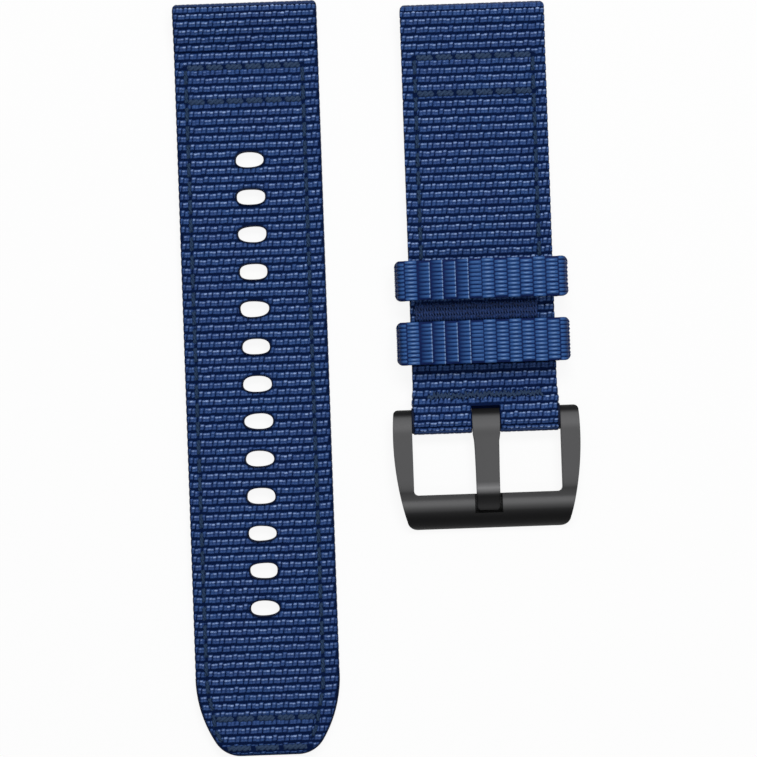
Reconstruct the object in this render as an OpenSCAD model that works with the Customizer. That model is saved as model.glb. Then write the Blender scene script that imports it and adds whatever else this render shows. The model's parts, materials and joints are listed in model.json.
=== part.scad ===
// Two-piece woven wrist band for a fitness tracker, lying flat with its front faces up.
// X runs across the straps, Y along them towards the lug ends, Z up from the surface below.
// The origin is the middle of the layout's footprint, on that surface.

/* [Webbing] */
// Width of both straps
strap_w = 22; // [18:0.5:26]
// Thickness of one layer of webbing
ply_t = 1.1; // [0.9:0.05:1.4]
// Diameter of the tunnel for the lug bar at each strap's end
lug_tunnel_d = 1.8; // [1.4:0.05:2.2]
// Distance from a lug end to where the fold has thinned down to the flat strap
lug_ramp = 7.4; // [6.5:0.1:7.6]
// Rounding of the lug-end corners, seen from above
lug_corner_r = 0.8; // [0.3:0.1:1.5]
// Length of turned-back webbing beyond the seam that holds it
turn_spare = 1.3; // [0.8:0.1:3]
// Gap between a turned-back end and the lining that meets it
lining_gap = 0.3; // [0.2:0.05:0.6]

/* [Tail strap] */
// Length of the tail strap
tail_len = 114.8; // [106:0.2:140]
// Distance from hole to hole
hole_pitch = 5.7; // [4:0.1:6]
// Distance from the lug end to the first hole
hole_first = 24; // [18:0.5:30]
// Least distance from the last hole to the tip
hole_tip_room = 22; // [10:0.5:40]
// Length of a hole, across the strap
hole_len = 4.3; // [3.8:0.1:6]
// Width of a hole, along the strap
hole_w = 2.3; // [2.1:0.1:2.6]
// Radius of a hole's corners
hole_r = 1; // [0.5:0.05:1]
// Radius of the tip's long side curves
tip_flank_r = 18.8; // [16:0.2:30]
// Distance from the tip to where the side curves begin
tip_flank = 12; // [10:0.5:14]
// Radius of the tip's corners
tip_corner_r = 4.5; // [3:0.1:6]

/* [Buckle strap] */
// Length of the buckle strap's webbing, from its lug end to the fold over the buckle bar
buckle_strap_len = 65.6; // [60:0.2:90]
// Length of webbing turned back under the buckle bar, beyond the tack that holds it
fold_spare = 0.4; // [0.2:0.1:3]
// Gap between the buckle bar's tube and the tunnel that it lies in
bar_tunnel_clear = 0.15; // [0.05:0.05:0.4]
// Distance from the buckle bar to where the fold has thinned down to the flat strap
fold_ramp = 3.3; // [2.8:0.1:3.4]
// Distance from the buckle bar to the back end of the slot for the tongue
tongue_slot = 2.3; // [2.2:0.1:3]
// Gap in that slot on each side of the tongue's eye
slot_clear = 0.25; // [0.15:0.05:0.5]

/* [Stitching] */
// Radius of the sewing thread
thread_r = 0.28; // [0.2:0.02:0.3]
// Length from stitch to stitch
stitch_pitch = 2.85; // [2:0.05:4]
// Gap between two stitches, where the thread dives into the webbing
stitch_gap = 0.5; // [0.3:0.05:0.8]
// Depth that a seam draws the webbing down
seam_depth = 0.6; // [0.6:0.05:0.75]
// Width of the groove that a seam makes
seam_w = 0.8; // [0.72:0.02:1.1]
// Distance from the tail's left edge to its side seam
tail_seam_left = 1.7; // [1.4:0.1:3]
// Distance from the tail's right edge to its side seam
tail_seam_right = 2.5; // [1.4:0.1:3]
// Distance from the buckle strap's edges to its side seams
buckle_seam_inset = 2; // [1.4:0.1:3]
// Angle that a tail side seam turns through along the tip
tip_seam_turn = 36; // [30:1:37]
// Distances from the tail's lug end to its two cross seams
tail_cross = [9.8, 15]; // [8:0.1:15.2]
// Distances from the tail's tip to its two cross seams
tip_cross = [1.15, 5.65]; // [0.8:0.05:6]
// Distances from the buckle strap's lug end to its two cross seams
buckle_cross = [8.2, 13.7]; // [8:0.1:14]
// Distance from the buckle bar to the seam behind it
bar_seam = 3.9; // [3.8:0.1:4.4]
// Width of the dense tack between the keepers, along the strap
tack_w = 2.7; // [1.5:0.1:3]
// Distance from the strap's left edge to the tack
tack_left = 0.8; // [0.5:0.1:4]
// Distance from the strap's right edge to the tack
tack_right = 2.6; // [0.5:0.1:4]
// Gap between the fixed keeper and the tack
tack_gap = 0.05; // [0.05:0.05:0.3]
// Height that the tack stands above the webbing
tack_proud = 0.3; // [0.2:0.05:0.4]

/* [Keepers] */
// Thickness of the keeper tape
tape_t = 0.75; // [0.6:0.05:0.8]
// Gap between the strap's edge and the keeper's tape
keeper_side_clear = 1.45; // [0.5:0.05:2.5]
// Gap between the strap's underside and the free keeper
keeper_slide_gap = 0.15; // [0.1:0.05:0.4]
// Radius of a keeper's corners, outside
keeper_r = 1.9; // [1.2:0.1:2.4]
// Room above the strap for the tail to pass, beyond the tail's thickness
pass_clear = 0.4; // [0.2:0.05:1]
// Width of the free keeper's tape
free_keeper_len = 6.1; // [5:0.1:7]
// Width of the fixed keeper's tape
fixed_keeper_len = 6.6; // [5:0.1:7]
// Distance from the buckle bar to the middle of the fixed keeper
fixed_keeper_at = 11.95; // [9:0.05:16]
// Gap between the tack and the free keeper at rest
free_keeper_gap = 0.45; // [0.3:0.05:1]
// Radius of the thread that closes the keepers
keeper_thread_r = 0.2; // [0.15:0.01:0.22]
// Depth that this thread is sunk below the tape's face
keeper_thread_sunk = 0.05; // [0.03:0.01:0.08]
// Distance between the two rows of that thread
keeper_row_gap = 2.4; // [1.5:0.1:5]

/* [Buckle] */
// Greatest width of one of the frame's arms
arm_w = 2.95; // [2.2:0.05:4]
// Gap between the strap's edge and the frame's arm
ear_clear = 0.3; // [0.2:0.05:0.6]
// Distance that the ears stay inside the fold's thickness
ear_inset = 0.1; // [0.05:0.05:0.3]
// Distance from the buckle bar to the front edge of the frame
frame_reach = 16.5; // [15.5:0.1:22]
// Depth of the front bar, seen from above
front_bar = 5.3; // [5:0.1:6.5]
// Radius of the front bar's rolled face
roll_r = 4.2; // [4:0.1:4.6]
// Thickness of the frame's plate
frame_t = 2.7; // [2.5:0.05:3]
// Radius of the frame's bowed sides
side_bow_r = 46; // [35:1:80]
// Distance from the buckle bar to the widest place of the frame
side_bow_at = 2.5; // [1:0.1:5]
// Radius of the frame's front corners
front_corner_r = 1.6; // [0.8:0.1:2.5]
// Radius of the ears' corners, seen from above
ear_corner_r = 0.7; // [0.3:0.1:1]
// Radius of the window's inner corners
window_r = 0.7; // [0.4:0.1:1.2]

/* [Tongue] */
// Width of the tongue
tongue_w = 3.75; // [3:0.05:4]
// Width of the tongue's eye on the bar
tongue_eye_w = 4.2; // [3.8:0.1:5]
// Wall of the tongue's eye round the bar
eye_wall = 1; // [0.7:0.05:1.1]
// Thickness of the tongue
tongue_t = 1.1; // [0.9:0.05:1.2]
// Height of the tongue's upper face above the bar's axis
tongue_top = 1.5; // [1.3:0.05:1.6]
// Radius of the bend at the tongue's tip
tip_bend_r = 4; // [3.5:0.1:5]
// Angle that the tip is bent through
tip_bend = 42; // [30:1:45]
// Gap round the tongue's tip in its notch
notch_clear = 0.17; // [0.1:0.01:0.3]

/* [Buckle bar] */
// Outer diameter of the bar's tube
tube_d = 1.5; // [1.4:0.05:1.8]
// Wall of the tube
tube_wall = 0.22; // [0.18:0.01:0.24]
// Gap between the tube's end and the frame's arm
tube_end_gap = 0.25; // [0.15:0.05:0.4]
// Length of the rolled-in lip at the tube's ends
lip_len = 0.3; // [0.2:0.05:0.5]
// Diameter of a plunger's tip
pin_d = 0.8; // [0.7:0.05:0.8]
// Length of the tip inside the frame's ear
pin_reach = 1.2; // [0.8:0.1:1.4]
// Depth of the ear's hole beyond the tip
pin_hole_spare = 0.4; // [0.2:0.1:0.6]
// Length of the plunger's head inside the tube
head_len = 2.5; // [1.5:0.1:4]
// Running clearance, on the radius, of the bar's turning and sliding fits
bar_fit = 0.05; // [0.02:0.01:0.08]
// Diameter of the spring's wire
wire_d = 0.16; // [0.12:0.01:0.18]
// Turns of the spring
spring_turns = 16; // [8:1:24]

/* [Layout] */
// Gap between the tail strap and the buckle frame beside it
layout_gap = 9.35; // [2:0.05:30]
// Distance that the buckle strap's lug end lies behind the tail's
lug_offset = 1.3; // [0:0.1:10]

/* [Hidden] */
$fn = 64;

webbing_blue = "#2f5391";
tape_blue = "#3a5f9e";
thread_navy = "#1d2b45";
gunmetal = "#4b4b4e";
spring_steel = "#b4b6b9";

arc_steps = 10;
tip_seam_steps = 4;
stitch_taper = 0.6;
cut_over = 1;

half_w = strap_w / 2;
strap_t = 2 * ply_t;
lug_tunnel_r = lug_tunnel_d / 2;
lug_loop_r = lug_tunnel_r + ply_t;
tube_r = tube_d / 2;
bar_tunnel_r = tube_r + bar_tunnel_clear;
bar_loop_r = bar_tunnel_r + ply_t;
bar_z = max(lug_loop_r, bar_loop_r, ply_t + keeper_slide_gap + tape_t);

// Where the two straps stand
ear_gap = strap_w + 2 * ear_clear;
buckle_w = ear_gap + 2 * arm_w;
footprint_w = strap_w + layout_gap + buckle_w;
tail_x = (strap_w - footprint_w) / 2;
buckle_x = (footprint_w - buckle_w) / 2;
lug_end = buckle_strap_len - bar_loop_r;
lug_axis = lug_end - lug_loop_r;
bar_y = tail_len / 2 - lug_offset - lug_end;
tail_turn = tail_cross[1] + turn_spare;
buckle_lug_turn = buckle_cross[1] + turn_spare;
hole_count = floor((tail_len - hole_first - hole_tip_room) / hole_pitch) + 1;

// Keepers and tack, from the buckle bar towards the lug end
tack_at = fixed_keeper_at + fixed_keeper_len / 2 + tack_gap + tack_w / 2;
tack_end = tack_at + tack_w / 2;
tack_len = strap_w - tack_left - tack_right;
tack_shift = (tack_left - tack_right) / 2;
tack_depth = ply_t - 2 * tack_proud;
fold_turn = tack_end + fold_spare;
free_keeper_at = tack_end + free_keeper_gap + free_keeper_len / 2;
keeper_w = strap_w + 2 * (keeper_side_clear + tape_t);
keeper_top = ply_t + strap_t + pass_clear + tape_t;
keeper_seam_depth = 2 * keeper_thread_r + keeper_thread_sunk;
free_seat = -ply_t - keeper_slide_gap;
fixed_seat = -ply_t;

// Buckle frame, with lengths counted forward from the bar
ear_r = bar_loop_r - ear_inset;
frame_top = ear_r;
roll_at = frame_reach - roll_r;
window_end = frame_reach - front_bar;
frame_foot = -ear_r;

// Tongue and its notch
bend_at = window_end;
notch_w = tongue_w + 2 * notch_clear;
notch_angle = tip_bend + 2 * asin(notch_clear / tip_bend_r);
slot_w = tongue_eye_w + 2 * slot_clear;
tongue_eye_r = tube_r + bar_fit + eye_wall;

// Buckle bar
tube_bore_r = tube_r - tube_wall;
tube_len = ear_gap - 2 * tube_end_gap;
pin_r = pin_d / 2;
head_r = tube_bore_r - bar_fit;
head_out = tube_len / 2 - lip_len;
pin_out = ear_gap / 2 + pin_reach;
spring_len = 2 * (head_out - head_len) - 2 * bar_fit;
coil_r = head_r - wire_d / 2;
spring_gap = spring_len / spring_turns - wire_d;
assert(spring_gap > 0, "The spring's turns touch: give it fewer turns or a thinner wire");

// Points of an arc about c, from angle a to angle b
function arc(c, r, a, b, n = arc_steps) =
  [for (i = [0:n]) c + r * [cos(a + (b - a) * i / n), sin(a + (b - a) * i / n)]];

// Angle at which a line from p touches a circle of radius r about the origin, on side s
function touch_angle(p, r, s) = atan2(p[1], p[0]) - s * acos(r / norm(p));

// Outline of a rectangle with rounded corners, from its lower left corner
function round_box(low, high, r) = concat(
  arc(low + [r, r], r, 180, 270),
  arc([high[0] - r, low[1] + r], r, 270, 360),
  arc(high - [r, r], r, 0, 90),
  arc([low[0] + r, high[1] - r], r, 90, 180)
);

// Sets a profile drawn in Y and Z across the strap
module across(w) {
  rotate([90, 0, 90]) linear_extrude(w, center = true) children();
}

// Sets a profile drawn in X and Z along the strap
module along(l) {
  rotate([90, 0, 0]) linear_extrude(l, center = true) children();
}

// Tail frame: the tip at Y 0, the lug end at tail_len
module tail_pose() {
  translate([tail_x, -tail_len / 2, 0]) children();
}

// Buckle strap frame: the buckle bar's axis at the origin
module buckle_pose() {
  translate([buckle_x, bar_y, bar_z]) children();
}

// Seams: each is a list of points that the thread passes straight between

flank_x = half_w - tip_flank_r;
flank_in = sqrt(pow(tip_flank_r - tip_corner_r, 2) - pow(tip_flank - tip_corner_r, 2));
tip_corner_x = flank_x + flank_in;
flank_turn = atan2(tip_corner_r - tip_flank, flank_in);

// Places along a tail side seam's curve, from where it begins to near the tip
function flank_seam(side, inset) =
  let (curve = arc([flank_x, tip_flank], tip_flank_r - inset, 0, -tip_seam_turn, tip_seam_steps))
  [for (p = curve) [side * p[0], p[1]]];

// Distance of that curve from the strap's middle, at distance d from the tip
function flank_seam_x(d, inset) =
  flank_x + sqrt(pow(tip_flank_r - inset, 2) - pow(tip_flank - d, 2));

tail_left_x = -half_w + tail_seam_left;
tail_right_x = half_w - tail_seam_right;
tail_left_seam = concat([[tail_left_x, tail_len - tail_cross[0]]], flank_seam(-1, tail_seam_left));
tail_right_seam = concat([[tail_right_x, tail_len - tail_cross[0]]], flank_seam(1, tail_seam_right));
tip_end_left = tail_left_seam[len(tail_left_seam) - 1];
tip_end_right = tail_right_seam[len(tail_right_seam) - 1];
tail_lug_seams = [for (d = tail_cross) [
  [tail_left_x + seam_w, tail_len - d],
  [tail_right_x - seam_w, tail_len - d]
]];
tail_tip_seams = [
  [[tip_end_left[0] + seam_w, tip_cross[0]], [tip_end_right[0] - seam_w, tip_cross[0]]],
  [
    [seam_w - flank_seam_x(tip_cross[1], tail_seam_left), tip_cross[1]],
    [flank_seam_x(tip_cross[1], tail_seam_right) - seam_w, tip_cross[1]]
  ]
];
tail_cross_seams = concat(tail_lug_seams, tail_tip_seams);

buckle_side_x = half_w - buckle_seam_inset;
side_seam_end = tack_end + seam_w;
buckle_side_seams = [for (s = [-1, 1]) [
  [s * buckle_side_x, side_seam_end],
  [s * buckle_side_x, lug_end - buckle_cross[0]]
]];
buckle_cross_seams = [for (d = buckle_cross) [
  [-buckle_side_x + seam_w, lug_end - d],
  [buckle_side_x - seam_w, lug_end - d]
]];
bar_seam_in = slot_w / 2;
bar_seams = [for (s = [-1, 1]) [[s * buckle_side_x, bar_seam], [s * bar_seam_in, bar_seam]]];

// Direction of a seam's step i, as an angle; before the first and after the last it runs straight on
function seam_angle(seam, i) =
  let (k = max(0, min(len(seam) - 2, i)), step = seam[k + 1] - seam[k])
  atan2(step[1], step[0]);

// One edge of a seam's groove, at distance out to the left of the thread
function seam_edge(seam, out) = [for (i = [0:len(seam) - 1])
  let (
    before = seam_angle(seam, i - 1),
    turn = (seam_angle(seam, i) - before) / 2,
    side = before + turn + 90
  )
  seam[i] + out / cos(turn) * [cos(side), sin(side)]];

// Grooves that the seams press into the upper face at top and the lower face at bottom
module seam_grooves(seams, top, bottom) {
  for (seam = seams, z = [top - seam_depth, bottom - cut_over]) {
    right = seam_edge(seam, -seam_w / 2);
    left = seam_edge(seam, seam_w / 2);
    translate([0, 0, z]) linear_extrude(seam_depth + cut_over)
      polygon(concat(right, [for (i = [len(left) - 1:-1:0]) left[i]]));
  }
}

// One stitch along X, with its ends drawn in
module stitch(l, r) {
  end = stitch_taper * r;
  rotate([0, 90, 0]) rotate_extrude() polygon([
    [0, -l / 2], [r / 2, -l / 2], [r, -l / 2 + end], [r, l / 2 - end], [r / 2, l / 2], [0, l / 2]
  ]);
}

// A row of stitches in the grooves of both faces
module seam_stitches(seams, top, bottom) {
  for (seam = seams, i = [0:len(seam) - 2]) {
    step = seam[i + 1] - seam[i];
    count = max(1, round(norm(step) / stitch_pitch));
    pitch = norm(step) / count;
    for (k = [0:count - 1], z = [top - seam_depth + thread_r, bottom + seam_depth - thread_r]) {
      translate(concat(seam[i] + step * (k + 0.5) / count, z))
        rotate(atan2(step[1], step[0])) stitch(pitch - stitch_gap, thread_r);
    }
  }
}

// Outline of the tail strap from above
module tail_outline() {
  right = concat(
    arc([tip_corner_x, tip_corner_r], tip_corner_r, -90, flank_turn),
    arc([flank_x, tip_flank], tip_flank_r, flank_turn, 0),
    arc([half_w - lug_corner_r, tail_len - lug_corner_r], lug_corner_r, 0, 90)
  );
  polygon(concat(right, [for (i = [len(right) - 1:-1:0]) [-right[i][0], right[i][1]]]));
}

// Buckle holes, drawn from above
module hole_row() {
  for (i = [0:hole_count - 1]) {
    translate([0, tail_len - hole_first - i * hole_pitch])
      polygon(round_box([-hole_len, -hole_w] / 2, [hole_len, hole_w] / 2, hole_r));
  }
}

// What both layers of the tail share: outline, holes and seam grooves
module tail_cut() {
  difference() {
    intersection() {
      children();
      translate([0, 0, -cut_over]) linear_extrude(2 * (lug_loop_r + cut_over)) tail_outline();
    }
    translate([0, 0, -cut_over]) linear_extrude(strap_t + 2 * cut_over) hole_row();
    seam_grooves(concat([tail_left_seam, tail_right_seam], tail_cross_seams), strap_t, 0);
  }
}

module tail_front_webbing() {
  axis = [tail_len - lug_loop_r, lug_loop_r];
  flat_end = [tail_len - lug_ramp, strap_t];
  nose = touch_angle(flat_end - axis, lug_loop_r, 1);
  turn_end = tail_len - tail_turn;
  color(webbing_blue) tail_pose() tail_cut() across(strap_w) difference() {
    polygon(concat(
      [[0, ply_t], [0, strap_t], flat_end],
      arc(axis, lug_loop_r, nose, -90, 2 * arc_steps),
      [[turn_end, 0], [turn_end, ply_t]]
    ));
    translate(axis) circle(lug_tunnel_r);
  }
}

module tail_lining() {
  lining_len = tail_len - tail_turn - lining_gap;
  color(webbing_blue) tail_pose() tail_cut()
    translate([-half_w, 0, 0]) cube([strap_w, lining_len, ply_t]);
}

module tail_side_stitching() {
  color(thread_navy) tail_pose() seam_stitches([tail_left_seam, tail_right_seam], strap_t, 0);
}

module tail_cross_stitching() {
  color(thread_navy) tail_pose() seam_stitches(tail_cross_seams, strap_t, 0);
}

// Recesses for the tack in both faces of the buckle strap
module tack_recess() {
  for (s = [-1, 1]) {
    translate([tack_shift, tack_at, s * (ply_t - tack_depth / 2 + cut_over / 2)])
      cube([tack_len, tack_w, tack_depth + cut_over], center = true);
  }
}

// What both layers of the buckle strap share: corners, tongue slot, tack and seam grooves
module buckle_strap_cut() {
  difference() {
    intersection() {
      children();
      linear_extrude(2 * (lug_loop_r + bar_loop_r), center = true)
        polygon(round_box([-half_w, -bar_loop_r - cut_over], [half_w, lug_end], lug_corner_r));
    }
    translate([-slot_w / 2, -2 * bar_loop_r, -2 * bar_loop_r])
      cube([slot_w, 2 * bar_loop_r + tongue_slot, 4 * bar_loop_r]);
    tack_recess();
    seam_grooves(concat(buckle_side_seams, buckle_cross_seams, bar_seams), ply_t, -ply_t);
  }
}

module buckle_front_webbing() {
  axis = [lug_axis, 0];
  flat_top = [lug_end - lug_ramp, ply_t];
  flat_bottom = [lug_end - lug_ramp, -ply_t];
  lug_nose = touch_angle(flat_top - axis, lug_loop_r, 1);
  bar_nose = touch_angle([fold_ramp, ply_t], bar_loop_r, -1);
  turn_end = lug_end - buckle_lug_turn;
  color(webbing_blue) buckle_pose() buckle_strap_cut() across(strap_w) difference() {
    polygon(concat(
      [[fold_ramp, ply_t], flat_top],
      arc(axis, lug_loop_r, lug_nose, -lug_nose, 2 * arc_steps),
      [flat_bottom, [turn_end, -ply_t], [turn_end, 0], [fold_turn, 0], [fold_turn, -ply_t]],
      [[fold_ramp, -ply_t]],
      arc([0, 0], bar_loop_r, 360 - bar_nose, bar_nose, 2 * arc_steps)
    ));
    circle(bar_tunnel_r);
    translate(axis) circle(lug_tunnel_r);
  }
}

module buckle_lining() {
  from = fold_turn + lining_gap;
  to = lug_end - buckle_lug_turn - lining_gap;
  color(webbing_blue) buckle_pose() buckle_strap_cut()
    translate([-half_w, from, -ply_t]) cube([strap_w, to - from, ply_t]);
}

module buckle_side_stitching() {
  color(thread_navy) buckle_pose() seam_stitches(buckle_side_seams, ply_t, -ply_t);
}

module buckle_cross_stitching() {
  color(thread_navy) buckle_pose() seam_stitches(buckle_cross_seams, ply_t, -ply_t);
}

module bar_seam_stitching() {
  color(thread_navy) buckle_pose() seam_stitches(bar_seams, ply_t, -ply_t);
}

// Dense satin stitches on both faces, drawn as a scalloped pad
module keeper_tack() {
  threads = round(tack_len / (2 * thread_r));
  width = tack_len / threads;
  crown = ply_t + tack_proud - width / 2;
  scallops = [for (i = [0:threads - 1]) each
    arc([tack_len / 2 - (i + 0.5) * width, crown], width / 2, 0, 180, 4)];
  base = ply_t - tack_depth;
  color(thread_navy) buckle_pose() for (s = [0, 1]) {
    translate([tack_shift, tack_at, 0]) mirror([0, 0, s]) along(tack_w)
      polygon(concat([[-tack_len / 2, base], [tack_len / 2, base]], scallops));
  }
}

// A closed loop of tape round the strap; its lower run has its upper face at seat
module keeper(l, seat) {
  low = [-keeper_w / 2, seat - tape_t];
  high = [keeper_w / 2, keeper_top];
  wall = [tape_t, tape_t];
  difference() {
    along(l) difference() {
      polygon(round_box(low, high, keeper_r));
      polygon(round_box(low + wall, high - wall, keeper_r - tape_t));
    }
    keeper_seam_rows() translate([0, 0, seat - tape_t])
      cube([l - 2 * seam_w, seam_w, 2 * keeper_seam_depth], center = true);
  }
}

// Two short rows across the tape, where its ends are sewn together under the strap
module keeper_seam_rows() {
  for (s = [-1, 1]) translate([s * keeper_row_gap / 2, 0, 0]) rotate(90) children();
}

module keeper_seam(l, seat) {
  row = l - 2 * seam_w;
  count = round(row / stitch_pitch);
  keeper_seam_rows() for (k = [0:count - 1]) {
    translate([row * ((k + 0.5) / count - 0.5), 0, seat - tape_t + keeper_seam_depth - keeper_thread_r])
      stitch(row / count - stitch_gap, keeper_thread_r);
  }
}

module fixed_keeper() {
  color(tape_blue) buckle_pose() translate([0, fixed_keeper_at, 0]) keeper(fixed_keeper_len, fixed_seat);
}

module fixed_keeper_seam() {
  color(thread_navy) buckle_pose() translate([0, fixed_keeper_at, 0])
    keeper_seam(fixed_keeper_len, fixed_seat);
}

module free_keeper() {
  color(tape_blue) buckle_pose() translate([0, free_keeper_at, 0]) keeper(free_keeper_len, free_seat);
}

module free_keeper_seam() {
  color(thread_navy) buckle_pose() translate([0, free_keeper_at, 0])
    keeper_seam(free_keeper_len, free_seat);
}

// Outline of the frame from above, with its front edge at the low end of Y
module frame_outline() {
  bow = [buckle_w / 2 - side_bow_r, -side_bow_at];
  front_y = -frame_reach + front_corner_r;
  back_y = ear_r - ear_corner_r;
  front_x = bow[0] + sqrt(pow(side_bow_r - front_corner_r, 2) - pow(front_y - bow[1], 2));
  back_x = bow[0] + sqrt(pow(side_bow_r - ear_corner_r, 2) - pow(back_y - bow[1], 2));
  front_a = atan2(front_y - bow[1], front_x - bow[0]);
  back_a = atan2(back_y - bow[1], back_x - bow[0]);
  right = concat(
    arc([front_x, front_y], front_corner_r, -90, front_a),
    arc(bow, side_bow_r, front_a, back_a, 2 * arc_steps),
    arc([back_x, back_y], ear_corner_r, back_a, 90)
  );
  left = [for (i = [len(right) - 1:-1:0]) [-right[i][0], right[i][1]]];
  difference() {
    polygon(concat(right, left));
    polygon(round_box([-ear_gap / 2, -window_end], [ear_gap / 2, 2 * ear_r + window_r], window_r));
  }
}

// Side view of the frame: ear, flat arm, and front bar rolled down towards the wearer
module frame_profile() {
  plate_low = frame_top - frame_t;
  roll = [-roll_at, frame_top - roll_r];
  inner_r = roll_r - frame_t;
  ear_low = asin(plate_low / ear_r);
  foot = frame_foot - roll[1];
  polygon(concat(
    arc([0, 0], ear_r, 90, -180 - ear_low, 2 * arc_steps),
    arc(roll, inner_r, 90, 180 - asin(foot / inner_r)),
    arc(roll, roll_r, 180 - asin(foot / roll_r), 90, 2 * arc_steps)
  ));
}

// Notch in the front bar that takes the tongue's tip
module tongue_notch() {
  reach = 2 * tip_bend_r;
  floor_r = tip_bend_r - tongue_t - notch_clear;
  across(notch_w) translate([-bend_at, tongue_top - tip_bend_r]) difference() {
    polygon([
      [cut_over, 0], [cut_over, reach],
      [-reach * sin(notch_angle), reach * cos(notch_angle)], [0, 0]
    ]);
    circle(floor_r);
  }
}

module buckle_frame() {
  pin_hole = pin_reach + pin_hole_spare + cut_over;
  color(gunmetal) buckle_pose() difference() {
    intersection() {
      translate([0, 0, -2 * ear_r]) linear_extrude(4 * ear_r) frame_outline();
      across(2 * buckle_w) frame_profile();
    }
    tongue_notch();
    for (s = [0, 1]) {
      mirror([s, 0, 0]) translate([ear_gap / 2 - cut_over, 0, 0]) rotate([0, 90, 0])
        cylinder(pin_hole, r = pin_r + bar_fit);
    }
  }
}

module buckle_tongue() {
  bend = [-bend_at, tongue_top - tip_bend_r];
  color(gunmetal) buckle_pose() difference() {
    union() {
      across(tongue_eye_w) circle(tongue_eye_r);
      across(tongue_w) polygon(concat(
        [[0, tongue_top], [0, tongue_top - tongue_t]],
        arc(bend, tip_bend_r - tongue_t, 90, 90 + tip_bend),
        arc(bend, tip_bend_r, 90 + tip_bend, 90)
      ));
    }
    across(2 * tongue_eye_w) circle(tube_r + bar_fit);
  }
}

module bar_tube() {
  color(spring_steel) buckle_pose() rotate([0, 90, 0]) rotate_extrude() polygon([
    [pin_r + bar_fit, -tube_len / 2], [tube_r, -tube_len / 2], [tube_r, tube_len / 2],
    [pin_r + bar_fit, tube_len / 2], [pin_r + bar_fit, head_out + bar_fit],
    [tube_bore_r, head_out + bar_fit], [tube_bore_r, -head_out - bar_fit],
    [pin_r + bar_fit, -head_out - bar_fit]
  ]);
}

// Sliding end of the bar: a head inside the tube and a tip in the frame's ear
module plunger() {
  rotate([0, 90, 0]) rotate_extrude() polygon([
    [0, head_out - head_len], [head_r, head_out - head_len], [head_r, head_out],
    [pin_r, head_out], [pin_r, pin_out - pin_r / 2], [pin_r / 2, pin_out], [0, pin_out]
  ]);
}

module bar_plunger_left() {
  color(spring_steel) buckle_pose() mirror([1, 0, 0]) plunger();
}

module bar_plunger_right() {
  color(spring_steel) buckle_pose() plunger();
}

// Coil spring inside the tube, one unbroken wire
module bar_spring() {
  ring = 6;
  rings_a_turn = 8;
  steps = spring_turns * rings_a_turn;
  lead = atan2(spring_len / spring_turns, 2 * PI * coil_r);
  points = [for (i = [0:steps], k = [0:ring - 1])
    let (
      turn = 360 * spring_turns * i / steps,
      out = [0, cos(turn), sin(turn)],
      side = [cos(lead), sin(lead) * sin(turn), -sin(lead) * cos(turn)],
      spin = 360 * k / ring,
      middle = [spring_len * (i / steps - 0.5), 0, 0] + coil_r * out
    )
    middle + wire_d / 2 * (cos(spin) * out + sin(spin) * side)];
  skin = [for (i = [0:steps - 1], k = [0:ring - 1])
    let (a = i * ring + k, b = i * ring + (k + 1) % ring)
    each [[a, b, b + ring], [a, b + ring, a + ring]]];
  last = steps * ring;
  ends = [for (k = [1:ring - 2]) each [[0, k + 1, k], [last, last + k, last + k + 1]]];
  color(spring_steel) buckle_pose() polyhedron(points, concat(skin, ends));
}

tail_front_webbing();
tail_lining();
tail_side_stitching();
tail_cross_stitching();
buckle_front_webbing();
buckle_lining();
buckle_side_stitching();
buckle_cross_stitching();
bar_seam_stitching();
keeper_tack();
fixed_keeper();
fixed_keeper_seam();
free_keeper();
free_keeper_seam();
buckle_frame();
buckle_tongue();
bar_tube();
bar_plunger_left();
bar_plunger_right();
bar_spring();
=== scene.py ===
"""Looks of a two-piece woven wrist band for a fitness tracker, built round its CAD parts.

Run as a script, it registers a small add-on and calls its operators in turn.
"""
import json
import math

import bpy
import numpy as np
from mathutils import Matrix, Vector


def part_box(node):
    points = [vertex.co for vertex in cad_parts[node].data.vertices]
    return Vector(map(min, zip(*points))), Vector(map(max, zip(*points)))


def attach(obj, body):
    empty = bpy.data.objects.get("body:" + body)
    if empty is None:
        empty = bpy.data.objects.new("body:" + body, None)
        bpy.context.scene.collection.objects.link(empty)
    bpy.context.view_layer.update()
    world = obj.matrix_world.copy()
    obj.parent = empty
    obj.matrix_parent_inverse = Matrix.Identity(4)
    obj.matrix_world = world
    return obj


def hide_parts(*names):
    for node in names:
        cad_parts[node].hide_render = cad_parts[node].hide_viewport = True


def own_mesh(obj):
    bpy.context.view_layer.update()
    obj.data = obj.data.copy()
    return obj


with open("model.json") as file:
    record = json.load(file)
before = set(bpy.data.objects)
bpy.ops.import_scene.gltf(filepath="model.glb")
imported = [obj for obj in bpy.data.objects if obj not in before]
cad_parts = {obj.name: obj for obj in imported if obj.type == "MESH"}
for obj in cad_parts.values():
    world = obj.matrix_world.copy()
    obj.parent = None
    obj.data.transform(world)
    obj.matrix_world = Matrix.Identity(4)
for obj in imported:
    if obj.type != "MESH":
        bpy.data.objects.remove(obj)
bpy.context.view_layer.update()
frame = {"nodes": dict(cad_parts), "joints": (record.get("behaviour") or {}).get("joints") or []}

bl_info = {
    "name": "Woven wrist band",
    "version": (1, 0, 0),
    "blender": (4, 5, 0),
    "location": "3D View > Sidebar > Band",
    "description": "Weaves, sews and lights a two-piece wrist band round its CAD parts",
    "category": "Object",
}

MM = 0.001
SEED = 22

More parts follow.
